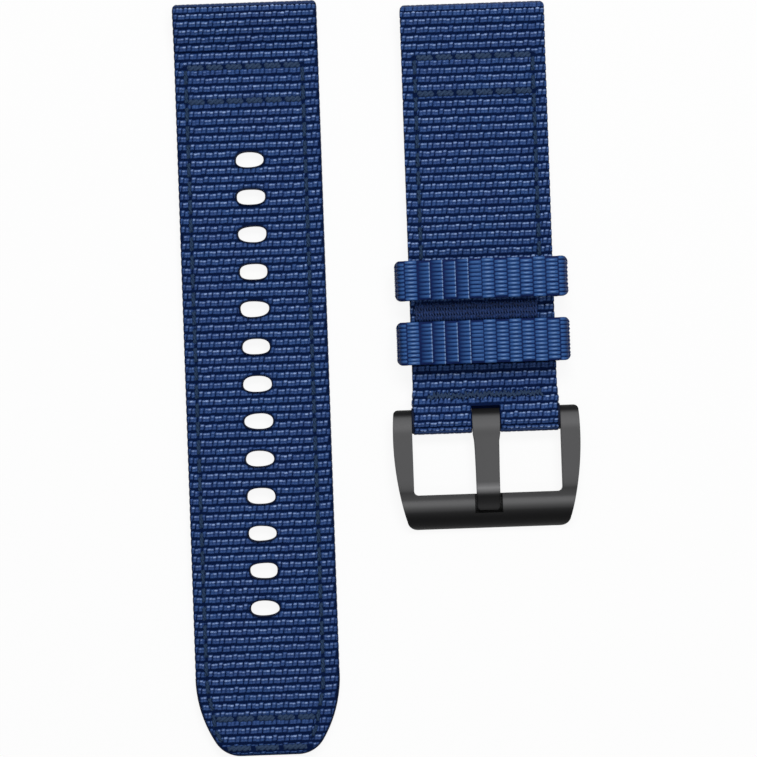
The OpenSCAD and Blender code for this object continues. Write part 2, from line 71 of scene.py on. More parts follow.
# Finishes
WARP = "nylon webbing warp, royal blue"
GROUND = "nylon webbing ground, navy"
SMOOTH = "nylon webbing, drawn smooth"
# Fused nylon, also used as painted shade beside the buckle's ears
FUSED_AND_SHADE = "fused nylon, dark"
BONDED = "bonded polyester thread, ink navy"
WAXED = "waxed polyester thread, slate navy"
SATIN = "polyester thread, navy"
TAPE = "nylon tape, blue"
TAPE_GROUND = "nylon tape ground, navy"
COATED = "black-coated steel, satin"
STEEL = "spring steel, oiled"


def linear(code):
    """Linear colour with alpha from an sRGB hex code."""
    parts = [int(code[i : i + 2], 16) / 255 for i in (1, 3, 5)]
    return [c / 12.92 if c <= 0.04045 else ((c + 0.055) / 1.055) ** 2.4 for c in parts] + [1.0]


def colour(name, description, code):
    return bpy.props.FloatVectorProperty(
        name=name, description=description, default=linear(code), size=4, min=0, max=1, subtype="COLOR"
    )


def number(name, description, value, **more):
    return bpy.props.FloatProperty(name=name, description=description, default=value, **more)


def length(name, description, mm, least=0):
    return number(name, description, mm * MM, min=least * MM, unit="LENGTH", subtype="DISTANCE", precision=5)


def angle(name, description, degrees):
    return number(name, description, math.radians(degrees), unit="ROTATION", subtype="ANGLE")


def share(name, description, value):
    return number(name, description, value, min=0, subtype="FACTOR")


def power(name, description, watts):
    return number(name, description, watts, min=0, unit="POWER")


class WeaveSettings(bpy.types.PropertyGroup):
    row_pitch: length("Rib pitch", "Distance from one rib of the weave to the next", 1.255)
    repeat: length("Yarn repeat", "Width of the repeat of three warp yarns", 1.88)
    depth: length("Rib depth", "Height of the warp floats above their rims", 0.46)
    ground: length("Ground depth", "Depth of the ground below the webbing's outer face", 0.4)
    inset: length("Ground inset", "How far the ground lies in from the webbing's edges", 0.06)
    lug_ramp: length("Lug ramp", "Distance from a lug end to where the fold has thinned down", 7.4)
    fold_ramp: length("Fold ramp", "Distance from the buckle bar to where its fold has thinned down", 3.3)
    lining_gap: length("Lining gap", "Gap between a turned-back end and the lining that meets it", 0.3)
    slot_width: length("Slot width", "Width of the slot for the tongue", 4.28)
    slot_end: length("Slot end", "Distance from the buckle bar to the slot's back end", 1.87)
    slot_play: length("Slot play", "How much further the slot reaches in front, for the tongue to lean", 0.42)
    rim: length("Fused rim", "Width of the melted rim round a hole or along the tip", 0.2)
    nose: length("Nose", "How far the yarn is drawn smooth either way from the end of a lug fold", 1.35)
    bar_nose: length("Bar nose", "The same for the fold round the buckle bar", 1.1)
    nose_relief: length("Nose relief", "Height of the floats above the smooth yarn on a nose", 0.07)
    corner: length("Lug corner", "Rounding of the lug corners, seen from above", 1.0)
    spread: length("Spread", "How far the edges spread where the webbing folds round the buckle bar", 0.29)
    # Painted shade: dark strips of the fused finish in the spread edges beside the buckle's ears, this long
    # either way
    spread_shade: length("Spread rim", "Length of the fused edge there, either way from the fold's end", 5.4)


class ThreadSettings(bpy.types.PropertyGroup):
    side_radius: length("Side thread", "Radius of the thread in the side seams", 0.33)
    cross_radius: length("Cross thread", "Radius of the thread in the cross seams", 0.53)
    cross_spread: share("Cross spread", "How much wider the cross seams are than those of the CAD part", 1.09)
    cross_length: share("Cross stitch", "How much longer their stitches are than those of the CAD part", 1.17)
    cross_sink: length("Cross sink", "How much deeper their thread lies in the cloth", 0.08)
    twist: length("Twist", "Length of one turn of the thread's two plies", 1.7)
    tack_radius: length("Tack thread", "Radius of the thread in the dense tack", 0.26)
    tack_sink: length("Tack sink", "Depth of that thread's middle below the tack's faces", 0.3)
    tack_pitch: length("Tack pitch", "Distance from thread to thread in the dense tack", 0.42)
    zigzag_radius: length("Zigzag thread", "Radius of the thread in the seam behind the buckle bar", 0.17)
    zigzag_sink: length("Zigzag sink", "Depth of that thread's middle below the seam's faces", 0.2)
    zigzag_pitch: length("Zigzag pitch", "Distance from stitch to stitch in that seam", 0.3)
    zigzag_height: length("Zigzag height", "Height of that seam, along the strap", 1.25)
    keeper_radius: length("Keeper thread", "Radius of the thread that closes a keeper", 0.22)


class KeeperSettings(bpy.types.PropertyGroup):
    column: length("Column", "Length of one weft-wide column of floats along the tape", 2.0)
    float_pitch: length("Float pitch", "Distance from float to float across the tape", 0.61)
    depth: length("Float depth", "Height of the floats above the tape's ground", 0.26)
    bow: length("Bow", "How far the upper run bows up in its middle", 0.4)
    end_round: length("End rounding", "Rounding of the tape's edges at its folds, seen from above", 1.0)
    tape: length("Tape", "Thickness of the tape", 0.75)
    inset: length("Ground inset", "How far the tape's ground lies in from its edges", 0.05)
    corner: length("Corner", "Radius of the loop's corners, outside", 1.9)


class BuckleSettings(bpy.types.PropertyGroup):
    inner_gap: length("Inner gap", "Clear width between the frame's arms", 22.6)
    front_bar: length("Front bar", "Depth of the front bar, seen from above", 5.3)
    roll: length("Roll", "Radius of the front bar's rolled face", 4.2)
    plate: length("Plate", "Thickness of the frame's plate", 2.7)
    side_bow: length("Side bow", "Radius of the bowed sides", 46)
    widest: length("Widest place", "Distance from the bar to the frame's widest place", 2.5)
    front_corner: length("Front corner", "Radius of the front corners", 1.6)
    ear_corner: length("Ear corner", "Radius of the ears' corners", 0.7)
    window_corner: length("Window corner", "Radius of the window's corners", 0.7)
    edge: length("Edge", "Rounding of the frame's upper edges", 0.14)
    tongue_bend: length("Tongue bend", "Radius of the bend at the tongue's tip", 1.3)
    tip_reach: length("Tip reach", "How far the bent tip reaches over the front bar, seen from above", 2.68)
    tongue_thickness: length("Tongue thickness", "Thickness of the tongue", 1.1)
    tongue_top: length("Tongue top", "Height of the tongue's upper face above the bar", 1.5)
    tongue_width: length("Tongue width", "Width of the tongue towards its tip", 3.6)
    tongue_edge: length("Tongue edge", "Rounding of the tongue's edges", 0.22)
    tip_bend: angle("Tip bend", "Angle that the tongue's tip is bent through", 24)
    notch_gap: length("Notch gap", "Gap round the tongue's tip in its notch", 0.24)


class FinishSettings(bpy.types.PropertyGroup):
    warp: colour("Warp", "Dye of the webbing's warp floats", "#2d4a7e")
    warp_patch: colour("Warp patch", "Dye of the warp where the bath took less", "#2c4477")
    # Painted highlight: the pale colour that the warp's tone paints on top of each bead
    warp_painted_highlight: colour("Warp crest", "Warp on top of a bead, rubbed pale", "#8fa7d4")
    # Partly painted shade: the ground yarn's navy made near-black between the ribs
    ground: colour("Ground", "Yarn down between the ribs", "#031438")
    # Partly painted shade: the yarn's navy made darker on the ends of the folds
    drawn: colour("Drawn yarn", "Yarn drawn smooth round a fold", "#24365f")
    tape: colour("Tape", "Dye of the keepers' tape", "#2d5289")
    # Painted highlight: the pale colour that the tape's tone paints on top of each float
    tape_painted_highlight: colour("Tape crest", "Tape on top of a float, rubbed pale", "#7593c0")
    # Partly painted shade: the tape's ground yarn made darker between the floats
    tape_ground: colour("Tape ground", "Yarn down between the floats of the tape", "#081b4a")
    thread: colour("Thread", "Waxed thread of the cross seams", "#2b3e5b")
    side_thread: colour("Side thread", "Bonded thread of the side seams", "#263a57")
    tack: colour("Tack thread", "Thread of the dense tack between the keepers", "#1b3261")
    # Also the painted shade in the spread edges beside the buckle's ears
    fused: colour("Fused edge", "Nylon melted along a cut", "#0a1228")
    # The coat's colour on the flats, and the painted shade that its tone takes on turned and lower faces
    coat: colour("Coat", "Brushed flats of the buckle", "#575758")
    coat_painted_shade: colour("Coat turned", "Buckle's faces that no brush reached", "#050506")
    bar: colour("Bar", "Steel of the spring bar", "#4a4b4e")
    paper: colour("Paper", "Ground that the band lies on", "#f4f4f4")


class StageSettings(bpy.types.PropertyGroup):
    distance: length("Camera distance", "Height of the camera above the band", 700)
    field: length("Field", "Width of what the camera sees", 115.66)
    aim_x: length("Aim X", "Place the camera looks at", -0.45, least=-1000)
    aim_y: length("Aim Y", "Place the camera looks at", -0.63, least=-1000)
    roll: angle("Roll", "Turn of the camera about its view", -2.0)
    key: power("Key", "Power of the large light behind the lug ends", 3.0)
    top: power("Top", "Power of the narrow light overhead, a little to the right", 1.6)
    strip: power("Strip", "Power of the narrow light in front of the buckle", 0.5)
    world: share("World", "Brightness of the surroundings as the band sees them", 0.2)
    paper: share("Paper", "Share of the paper's look that is even white, without shadow", 0.9)


def feed(tree, socket, value):
    """Links a socket to another one, or sets it."""
    if isinstance(value, bpy.types.NodeSocket):
        tree.links.new(value, socket)
    else:
        socket.default_value = value


def add_node(tree, kind, **inputs):
    """Adds a node and sets or links its inputs, which are named by socket with _ for a space."""
    node = tree.nodes.new(kind)
    for name, value in inputs.items():
        feed(tree, node.inputs[name.replace("_", " ")], value)
    return node


def add_math(tree, operation, *values):
    """Result of a sum or the like of two linked values."""
    node = tree.nodes.new("ShaderNodeMath")
    node.operation = operation
    for socket, value in zip(node.inputs, values):
        feed(tree, socket, value)
    return node.outputs["Value"]


def ramp(tree, value, **limits):
    """A value taken from one range to another, each from 0 to 1 where the limits don't say."""
    return add_node(tree, "ShaderNodeMapRange", Value=value, **limits).outputs["Result"]


def noise(tree, place, size, detail, **more):
    """Uneven pattern from 0 to 1, with spots of that size."""
    node = add_node(tree, "ShaderNodeTexNoise", Vector=place, Scale=1 / size, Detail=detail, **more)
    return node.outputs["Fac"]


def object_place(tree):
    return add_node(tree, "ShaderNodeTexCoord").outputs["Object"]


def point_tone(tree):
    """Each point's tone, by which its finish paints light and shade into its colour, in a weave or on the
    buckle.
    """
    tone = add_node(tree, "ShaderNodeAttribute")
    tone.attribute_name = "tone"
    return tone.outputs["Fac"]


def mixed_colour(tree, factor, low, high):
    """Colour socket that goes from low to high with a factor from 0 to 1."""
    mixed = add_node(tree, "ShaderNodeMix", Factor=factor)
    mixed.data_type = "RGBA"
    feed(tree, mixed.inputs[6], low)
    feed(tree, mixed.inputs[7], high)
    return mixed.outputs[2]


def add_bump(tree, shader, height, strength, distance):
    """Lets a pattern break up a shader's highlights."""
    bump = add_node(tree, "ShaderNodeBump", Strength=strength, Distance=distance, Height=height)
    feed(tree, shader.inputs["Normal"], bump.outputs["Normal"])


def new_material(name, **inputs):
    """An empty material and its Principled shader."""
    made = bpy.data.materials.new(name)
    made.use_nodes = True
    tree = made.node_tree
    tree.nodes.clear()
    shader = add_node(tree, "ShaderNodeBsdfPrincipled", **inputs)
    add_node(tree, "ShaderNodeOutputMaterial", Surface=shader.outputs["BSDF"])
    return made, tree, shader


def woven_nylon(name, dye, painted_shade_colour, crest, patch, roughness, fibre):
    """Dyed nylon yarn. The dye drifts between two blues over patches of that size, as a dye bath leaves it.
    By each point's tone it darkens to painted shade where a float dips into the weave, and turns to a pale
    painted highlight on its crest. fibre, the size of the filaments along each axis, roughens the highlights."""
    tint = linear("#a8c4ff")
    made, tree, shader = new_material(name, Roughness=roughness, Specular_IOR_Level=0.2, Specular_Tint=tint)
    place, rise = object_place(tree), point_tone(tree)
    drift = ramp(tree, noise(tree, place, patch, 3.0, Roughness=0.6), From_Min=0.35, From_Max=0.65)
    body = ramp(tree, rise, From_Min=0.05, From_Max=0.5)
    top = ramp(tree, rise, From_Min=0.8, From_Max=1.05)
    yarn = mixed_colour(tree, body, painted_shade_colour, mixed_colour(tree, drift, *dye))
    feed(tree, shader.inputs["Base Color"], mixed_colour(tree, top, yarn, crest))
    stretched = add_node(tree, "ShaderNodeMapping", Vector=place, Scale=[1 / s for s in fibre])
    add_bump(tree, shader, noise(tree, stretched.outputs["Vector"], 1.0, 2.0), 0.35, 0.03 * MM)
    feed(tree, shader.inputs["Specular IOR Level"], ramp(tree, rise, From_Max=0.7, To_Max=0.35))
    return made


def speckled(name, tint, grain, roughness, level, metallic=0.0, contrast=0.4):
    """One dull finish. Specks of that grain, lighter and darker by contrast, break up its highlights."""
    made, tree, shader = new_material(name, Roughness=roughness, Metallic=metallic, Specular_IOR_Level=level)
    specks = noise(tree, object_place(tree), grain, 3.0)
    low, high = ([c * k for c in tint[:3]] + [1.0] for k in (1 - contrast, 1 + contrast))
    spread = ramp(tree, specks, From_Min=0.3, From_Max=0.7)
    feed(tree, shader.inputs["Base Color"], mixed_colour(tree, spread, low, high))
    add_bump(tree, shader, specks, 0.4, 0.02 * MM)
    return made


def coated_steel(name, flat, turned, roughness, level):
    """Steel blasted with fine grit and coated black. Its tone paints light and shade into the coat: lighter
    on the flats, painted shade on the faces that turn away and below, and painted highlights where the flats
    start to turn.
    Grain of 0.05 mm breaks what it reflects into a satin."""
    made, tree, shader = new_material(name, Specular_IOR_Level=level)
    grain = noise(tree, object_place(tree), 0.05 * MM, 2.0)
    painted_light = add_math(tree, "MULTIPLY", point_tone(tree), ramp(tree, grain, To_Min=0.9, To_Max=1.1))
    coat = mixed_colour(tree, painted_light, turned, flat)
    coat.node.clamp_factor = False
    feed(tree, shader.inputs["Base Color"], coat)
    uneven = ramp(tree, grain, To_Min=roughness - 0.05, To_Max=roughness + 0.05)
    feed(tree, shader.inputs["Roughness"], uneven)
    return made


def material(name):
    """The band's materials, each made when it is first asked for."""
    if name in bpy.data.materials:
        return bpy.data.materials[name]
    across, along = 0.05 * MM, 0.6 * MM
    dye = bpy.context.scene.band_finish
    make = {
        # Royal blue beads of the raised warp floats, with painted shade in the dips and small painted
        # highlights on top
        WARP: lambda n: woven_nylon(
            n, (dye.warp_patch, dye.warp), dye.ground, dye.warp_painted_highlight, 4 * MM, 0.34, (across, along, along)
        ),
        # Navy ground yarn between the ribs, made near-black, partly as painted shade
        GROUND: lambda n: speckled(n, dye.ground, 0.15 * MM, 0.8, 0.05),
        # Dull navy of the yarn on the end of a fold, without beads, darker as painted shade
        SMOOTH: lambda n: speckled(n, dye.drawn, 0.3 * MM, 0.7, 0.08),
        # Melted edge of cut webbing, dark and dull, and the same finish as painted shade beside the buckle's
        # ears
        FUSED_AND_SHADE: lambda n: speckled(n, dye.fused, 0.3 * MM, 0.65, 0.12),
        # Lighter, smoother blue of the keeper tape, with painted shade and painted highlights by its tone
        TAPE: lambda n: woven_nylon(
            n, (dye.tape, dye.tape), dye.tape_ground, dye.tape_painted_highlight, 6 * MM, 0.34, (along, across, along)
        ),
        # Navy ground yarn between the floats of the tape, made deep, partly as painted shade
        TAPE_GROUND: lambda n: speckled(n, dye.tape_ground, 0.15 * MM, 0.7, 0.1),
        # Dark slate thread that sinks into the weave
        BONDED: lambda n: speckled(n, dye.side_thread, 0.12 * MM, 0.7, 0.1),
        # Dull slate of the waxed sewing thread
        WAXED: lambda n: speckled(n, dye.thread, 0.12 * MM, 0.7, 0.15),
        # Bluer thread, packed so close that it reads as a flat satin patch
        SATIN: lambda n: speckled(n, dye.tack, 0.3 * MM, 0.6, 0.25, contrast=0.75),
        # Satin grey-black of the buckle, with light and shade painted into it by its tone
        COATED: lambda n: coated_steel(n, dye.coat, dye.coat_painted_shade, 0.45, 0.03),
        # Oiled grey of the spring bar
        STEEL: lambda n: speckled(n, dye.bar, 0.08 * MM, 0.35, 0.5, metallic=1.0),
    }[name]
    return make(name)


def new_piece(name, points, faces, finish, body, slot, replaces=(), smooth=True, marks=None, tone=None):
    """A mesh piece that rides a CAD body. marks are its flat map, and its finish reads tone at each point."""
    mesh = bpy.data.meshes.new(name)
    mesh.from_pydata(np.asarray(points).tolist(), [], [list(f) for f in faces])
    mesh.materials.append(material(finish))
    mesh.polygons.foreach_set("use_smooth", [smooth] * len(mesh.polygons))
    if marks is not None:
        corners = np.empty(len(mesh.loops), np.int32)
        mesh.loops.foreach_get("vertex_index", corners)
        layer = mesh.uv_layers.new(name="OFBake")
        layer.uv.foreach_set("vector", np.asarray(marks, np.float32)[corners].ravel())
    if tone is not None:
        mesh.attributes.new("tone", "FLOAT", "POINT").data.foreach_set("value", np.asarray(tone, np.float32))
    mesh.validate()
    piece = bpy.data.objects.new(name, mesh)
    bpy.context.scene.collection.objects.link(piece)
    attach(piece, body)
    if replaces:
        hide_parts(*replaces)
    return piece


class Path:
    """A ply's outer face seen from the side, as points in Y and Z with the outside on the left."""

    def __init__(self, points):
        self.points = np.asarray(points, float)
        steps = np.diff(self.points, axis=0)
        run = np.linalg.norm(steps, axis=1)
        heading = steps / run[:, None]
        heading = np.vstack([heading[:1], heading[1:] + heading[:-1], heading[-1:]])
        heading /= np.linalg.norm(heading, axis=1)[:, None]
        self.out = np.column_stack([-heading[:, 1], heading[:, 0]])
        self.run = np.concatenate([[0], np.cumsum(run)])
        self.length = self.run[-1]

    def lay(self, x, s, h):
        """Points at x across the strap, s along the path and h above it."""
        s = np.asarray(s, float)
        y, z, v, w = (np.interp(s, self.run, c) for c in [*self.points.T, *self.out.T])
        return np.stack(np.broadcast_arrays(x, y + v * h, z + w * h), axis=-1)


def arc(centre, r, start, end, steps):
    """Points of an arc, with angles in radians."""
    return [
        (centre[0] + r * math.cos(a), centre[1] + r * math.sin(a)) for a in np.linspace(start, end, steps + 1)
    ]


def touch(point, centre, r, side):
    """Angle at which a line from the point touches the circle, on the left with side 1, the right with -1."""
    y, z = point[0] - centre[0], point[1] - centre[1]
    return math.atan2(z, y) - side * math.acos(r / math.hypot(y, z))


def hull(points):
    """Convex outline of flat points, anticlockwise."""
    points = sorted(set(map(tuple, np.round(points, 7).tolist())))

    def left_turn(a, b, c):
        return (b[0] - a[0]) * (c[1] - a[1]) > (b[1] - a[1]) * (c[0] - a[0])

    def half(run):
        out = []
        for p in run:
            while len(out) > 1 and not left_turn(out[-2], out[-1], p):
                out.pop()
            out.append(p)
        return out[:-1]

    return np.array(half(points) + half(points[::-1]))


def edge_distance(outline, x, s):
    """Depth inside a convex anticlockwise outline, negative outside, and the nearest edge's inward normal."""
    ahead = np.roll(outline, -1, axis=0) - outline
    inward = np.column_stack([-ahead[:, 1], ahead[:, 0]]) / np.linalg.norm(ahead, axis=1)[:, None]
    depth = ((np.stack([x, s], -1)[..., None, :] - outline) * inward).sum(-1)
    nearest = depth.argmin(-1)
    return np.take_along_axis(depth, nearest[..., None], -1)[..., 0], inward[nearest]


def ease(low, high, value):
    """Share from 0 to 1 that rises smoothly between two values."""
    t = np.clip((value - low) / (high - low), 0, 1)
    return t * t * (3 - 2 * t)


def dip(least, low, high, value):
    """Share that rises from its least to 1 between two values."""
    return least + (1 - least) * ease(low, high, value)


def quads(rows, columns, loop=False, ring=False, flip=False):
    """Faces of a grid of points. A loop joins its last row to the first, and a ring its last column."""
    i, k = np.meshgrid(np.arange(rows - 1 + loop), np.arange(columns - 1 + ring), indexing="ij")
    here, ahead, beside = i * columns, (i + 1) % rows * columns, (k + 1) % columns
    corners = [here + k, ahead + k, ahead + beside, here + beside]
    if flip:
        corners[1], corners[3] = corners[3], corners[1]
    return np.stack(corners, -1).reshape(-1, 4)


def repeat_faces(faces, count, points):
    return (np.arange(count)[:, None, None] * points + faces).reshape(-1, 4)


def joined(*parts):
    """Several (points, faces, and so on) as one, with whatever follows the faces laid end to end."""
    starts = np.cumsum([0] + [len(part[0]) for part in parts])
    points, faces, *rest = zip(*parts)
    faces = [[i + start for i in face] for group, start in zip(faces, starts.tolist()) for face in group]
    return (np.vstack(points), faces, *(np.concatenate(more) for more in rest))


def pillow(across, along):
    """A grid from two profiles of (place from -1 to 1, height): its places, heights from 0 to 1 and faces."""
    u, v = (g.ravel() for g in np.meshgrid(across[:, 0], along[:, 0], indexing="ij"))
    return u, v, np.outer(across[:, 1], along[:, 1]).ravel(), quads(len(across), len(along))


def round_profile(points, fullness=2.0):
    """A profile that rises from its ends as a round yarn does, or more squarely with more fullness."""
    u = np.sin(np.linspace(-1, 1, points) * math.pi / 2)
    return np.column_stack([u, np.sqrt(np.clip(1 - np.abs(u) ** fullness, 0, 1))])


def clear_of_edges(value, margin):
    """A share of a flat map, drawn in from its edges."""
    return margin + (1 - 2 * margin) * value


# Half width of a column of the flat map, in half widths of the strap, with room for its edges
MAP_HALF = 1.15


def map_rows(x, s, half_w, run, row):
    """Flat map of a long strip, cut into columns of whole rows that fill a square."""
    columns = max(1, round(math.sqrt(run / (2.4 * half_w))))
    part = run / columns * 1.02
    column = np.minimum(columns - 1, (row // part).astype(int))
    u = (column + clear_of_edges((x / (MAP_HALF * half_w) + 1) / 2, 0.03)) / columns
    v = clear_of_edges(s / part - column, 0.02)
    return np.stack(np.broadcast_arrays(u, v), -1).reshape(-1, 2).clip(0, 1)


# A warp float lies low over its first weft pick and rises in a bead over the second
OVER_TWO_PICKS = np.array(
    [(-1, 0), (-0.8, 0.45), (-0.5, 0.7), (-0.2, 0.46), (0.08, 0.68), (0.36, 1), (0.7, 0.94), (1, 0)]
)
# The three yarns of a repeat, of which the first leads: how far each is drawn sideways, in yarns, where its
# floats lie along a rib and their half length, in ribs, how far they lean, and how high they rise on even and
# on odd ribs
YARN_SHIFT = np.array([0, 0.13, -0.13])
YARN_PLACE = np.array([0.505, 0.46, 0.46])
YARN_HALF = np.array([0.41, 0.38, 0.38])
YARN_LEAN = np.array([0.09, 0.03, 0.03]) * MM
YARN_RISE = np.array([[0.97, 0.97, 0.99], [0.97, 0.93, 1.03]])
# Half width of a float, in yarns, and the least half length that is woven, in ribs
FLOAT_HALF, FLOAT_LEAST = 0.55, 0.12
# How unevenly floats lie across and along the strap, and how unevenly high
SWAY, SLIP, UNEVEN = 0.02 * MM, 0.025 * MM, 0.05
# Distance of whole floats from an edge
EDGE_GAP = 0.1 * MM
# Share of a rib by which a seam lies past the rib's start
SEAM_PLACE = 0.12
# How far below its outer face a ply's smooth nose ends
NOSE_DEPTH = 0.04 * MM
# Length of the strap that its curved tip takes up
TIP_RUN = 12 * MM
# Distances from a fold's end over which its spread edges come back
SPREAD_END = (6 * MM, 9 * MM)


def weave(path, x0, half_w, ply, rng, stitches=(), outline=None, cuts=(), slot=None, fine=True, cut_end=0,
          folds=(), spread=0, seam=0):
    """The warp floats on a ply's outer face and its two edges, as points, faces, a flat map and tones.
    outline, cuts and slot are convex, in X from the strap's middle and length along the path. Floats stop at
    the far end of the slot and are pressed less beside it than beside a cut. The edges have no floats on the
    first or last TIP_RUN of path where cut_end is -1 or 1, because a curved tip is cut there. At each of the
    folds, a place along the path and a reach, the floats are drawn smooth and darkened by painted shade, and
    at the first the edges spread. A seam at that place along the path lies between two rows."""
    style = bpy.context.scene.band_weave
    pitch, yarns = style.row_pitch, round(2 * half_w / (style.repeat / 3))
    gauge = 2 * half_w / yarns
    rows = np.arange(-1, round(path.length / pitch) + 1) + (seam / pitch - SEAM_PLACE) % 1
    row, yarn = (g.ravel() for g in np.meshgrid(rows, np.arange(yarns), indexing="ij"))
    odd, turn = np.floor(row).astype(int) % 2, yarn % 3
    x = -half_w + (yarn + 0.25 + 0.5 * odd + YARN_SHIFT[turn]) * gauge + rng.normal(0, SWAY, len(row))
    s = (row + YARN_PLACE[turn]) * pitch + rng.normal(0, SLIP, len(row))
    crown = style.depth * YARN_RISE[odd, turn] * rng.normal(1, UNEVEN, len(row))
    half = pitch * YARN_HALF[turn]
    ends = [np.clip(s + way * half, EDGE_GAP, path.length - EDGE_GAP) for way in (-1, 1)]
    if slot is not None:
        cuts, stop = [slot], slot[:, 1].max()
        beyond = (np.abs(x) < slot[:, 0].max()) & (ends[1] > stop)
        ends[0] = np.where(beyond, np.maximum(ends[0], stop), ends[0])
    s, half = sum(ends) / 2, (ends[1] - ends[0]) / 2
    keep = half > FLOAT_LEAST * pitch
    if outline is not None:
        keep &= edge_distance(outline, x, s)[0] > EDGE_GAP
    for cut in cuts:
        keep &= edge_distance(cut, x, s)[0] < 0
    x, s, half, crown, lean, row = (g[keep, None] for g in (x, s, half, crown, YARN_LEAN[turn], row))
    profiles = (round_profile(5, 2.3), OVER_TWO_PICKS) if fine else (round_profile(4), round_profile(4))
    u, v, height, faces = pillow(*profiles)
    ridge = np.outer(0.7 + 0.3 * profiles[0][:, 1], profiles[1][:, 1]).ravel()
    across = np.clip(x + FLOAT_HALF * gauge * u + lean * v, -half_w, half_w)
    along = np.clip(s + half * v, 0, path.length)
    pressed, smooth = np.ones(along.shape), np.zeros(along.shape)
    if outline is not None:
        inside, inward = edge_distance(outline, across, along)
        push = np.maximum(0, 0.8 * EDGE_GAP - inside)
        across, along = across + push * inward[..., 0], along + push * inward[..., 1]
        pressed *= dip(0.3, 0, 0.6 * MM, inside)
    for cut in cuts:
        inside, inward = edge_distance(cut, across, along)
        push = np.maximum(0, inside + 0.7 * style.rim)
        across, along = across - push * inward[..., 0], along - push * inward[..., 1]
        pressed *= dip(0.4 if slot is None else 0.85, 0.1 * MM, 0.7 * MM, -inside)
    for places, radius in stitches:
        away = seam_distance(path.lay(x0 + across, along, -style.depth), places, 0.7 * radius)
        pressed *= dip(0.12, 0.5 * radius, 1.2 * radius, away)
    # On a fold the floats are drawn smooth, and their tone is darkened further as painted shade
    for fold, reach in folds:
        smooth = np.maximum(smooth, 1 - ease(0.7 * reach, 1.3 * reach, np.abs(along - fold)))
    bead = crown * height * pressed * (1 - smooth + smooth * style.nose_relief / style.depth)
    lift = (style.depth - style.nose_relief - NOSE_DEPTH) * smooth
    points = path.lay(x0 + across, along, bead - style.depth + lift)
    marks = map_rows(across, along, half_w, path.length, (row + 0.5) * pitch)
    # Tone: painted shade where floats lie low or are pressed down, painted highlights on their crests
    tone = crown / style.depth * ridge * pressed * (1 - 0.65 * smooth)
    face = points.reshape(-1, 3), repeat_faces(faces, len(x), len(u)), marks, tone.ravel()
    low, high = (TIP_RUN if cut_end == end else 0.3 * pitch for end in (-1, 1))
    middle = (rows + 0.5) * pitch
    middle = middle[(middle > low) & (middle < path.length - high)]
    return joined(face, *edge_floats(path, x0, half_w, ply, middle, spread, folds[0][0] if folds else 0))


def edge_floats(path, x0, half_w, ply, middle, spread, nose):
    """Floats over both edges of a ply, one at each middle along the path, spread near the nose of a fold."""
    pitch = bpy.context.scene.band_weave.row_pitch
    u, v, height, faces = pillow(round_profile(4), round_profile(5))
    faces, middle = repeat_faces(faces, len(middle), len(u)), middle[:, None]
    beside = np.clip(middle + 0.43 * pitch * v, 0, path.length)
    bulge = 0.1 * MM * height - 0.08 * MM
    bulge = bulge + spread * height * (1 - ease(*SPREAD_END, np.abs(beside - nose)))
    parts = []
    for side in (-1, 1):
        edge = path.lay(x0 + side * (half_w + bulge), beside, -0.58 * ply - side * 0.4 * ply * u)
        marks = map_rows(side * (1.03 + 0.08 * side * u) * half_w, beside, half_w, path.length, middle)
        # Their tone, from their height, paints shade and highlight as on the other floats
        parts.append((edge.reshape(-1, 3), faces, marks, np.tile(0.7 * height, len(middle))))
    return parts


def seam_distance(points, places, hole):
    """Distance of points from the nearest stitch and its needle holes, on their own face of the strap."""
    found = np.full(points.shape[:-1], 1.0)
    for middle, ahead, reach, _ in places:
        apart = points - middle
        same_face = np.abs(apart[..., 2]) < 0.9 * MM
        along = np.clip(apart[..., 0] * ahead[0] + apart[..., 1] * ahead[1], -reach - hole, reach + hole)
        gap = np.hypot(apart[..., 0] - along * ahead[0], apart[..., 1] - along * ahead[1])
        found = np.where(same_face, np.minimum(found, gap), found)
    return found


def node_points(node):
    return np.array([v.co for v in frame["nodes"][node].data.vertices], float)


def islands(node):
    """The points of each separate solid of a CAD node."""
    points = node_points(node)
    _, same = np.unique(np.round(points, 7), axis=0, return_inverse=True)
    same = same.ravel()
    pairs = same[np.array([e.vertices[:] for e in frame["nodes"][node].data.edges])]
    label = np.arange(same.max() + 1)
    while True:
        low = np.minimum(label[pairs[:, 0]], label[pairs[:, 1]])
        new = label.copy()
        np.minimum.at(new, pairs[:, 0], low)
        np.minimum.at(new, pairs[:, 1], low)
        new = new[new]
        if (new == label).all():
            break
        label = new
    return [points[label[same] == k] for k in np.unique(label)]


def stitch_places(node, middle_z):
    """Middle, direction, half length and side (1 above, -1 below) of each stitch in a CAD node."""
    places = []
    for points in islands(node):
        middle = (points.min(0) + points.max(0)) / 2
        ahead = np.linalg.svd(points - points.mean(0), full_matrices=False)[2][0]
        places.append((middle, ahead, np.ptp(points @ ahead) / 2, 1 if middle[2] > middle_z else -1))
    return places


def spread_out(places, x0, sew):
    """Stitches of the cross seams, spread from the strap's middle until they meet the side seams."""
    return [
        (
            middle + [(sew.cross_spread - 1) * (middle[0] - x0), 0, -side * sew.cross_sink],
            ahead, sew.cross_length * reach, side,
        )
        for middle, ahead, reach, side in places
    ]


# How much further out the seams near the tip lie than in the CAD part, by the distance in mm from its end
TIP_FLARE = np.array([(1.4, 1.2), (3.4, 1.16), (5.4, 1.05), (6.8, 1)])


def flared(places, x0, tip):
    """Stitches near a strap's rounded tip, moved out along its edge."""
    moved = []
    for middle, ahead, reach, side in places:
        ends = middle + np.outer([-reach, reach], ahead)
        ends[:, 0] = x0 + (ends[:, 0] - x0) * np.interp((ends[:, 1] - tip) / MM, *TIP_FLARE.T)
        run = ends[1] - ends[0]
        reach = np.linalg.norm(run) / 2
        moved.append((ends.mean(0), run / (2 * reach), reach, side))
    return moved


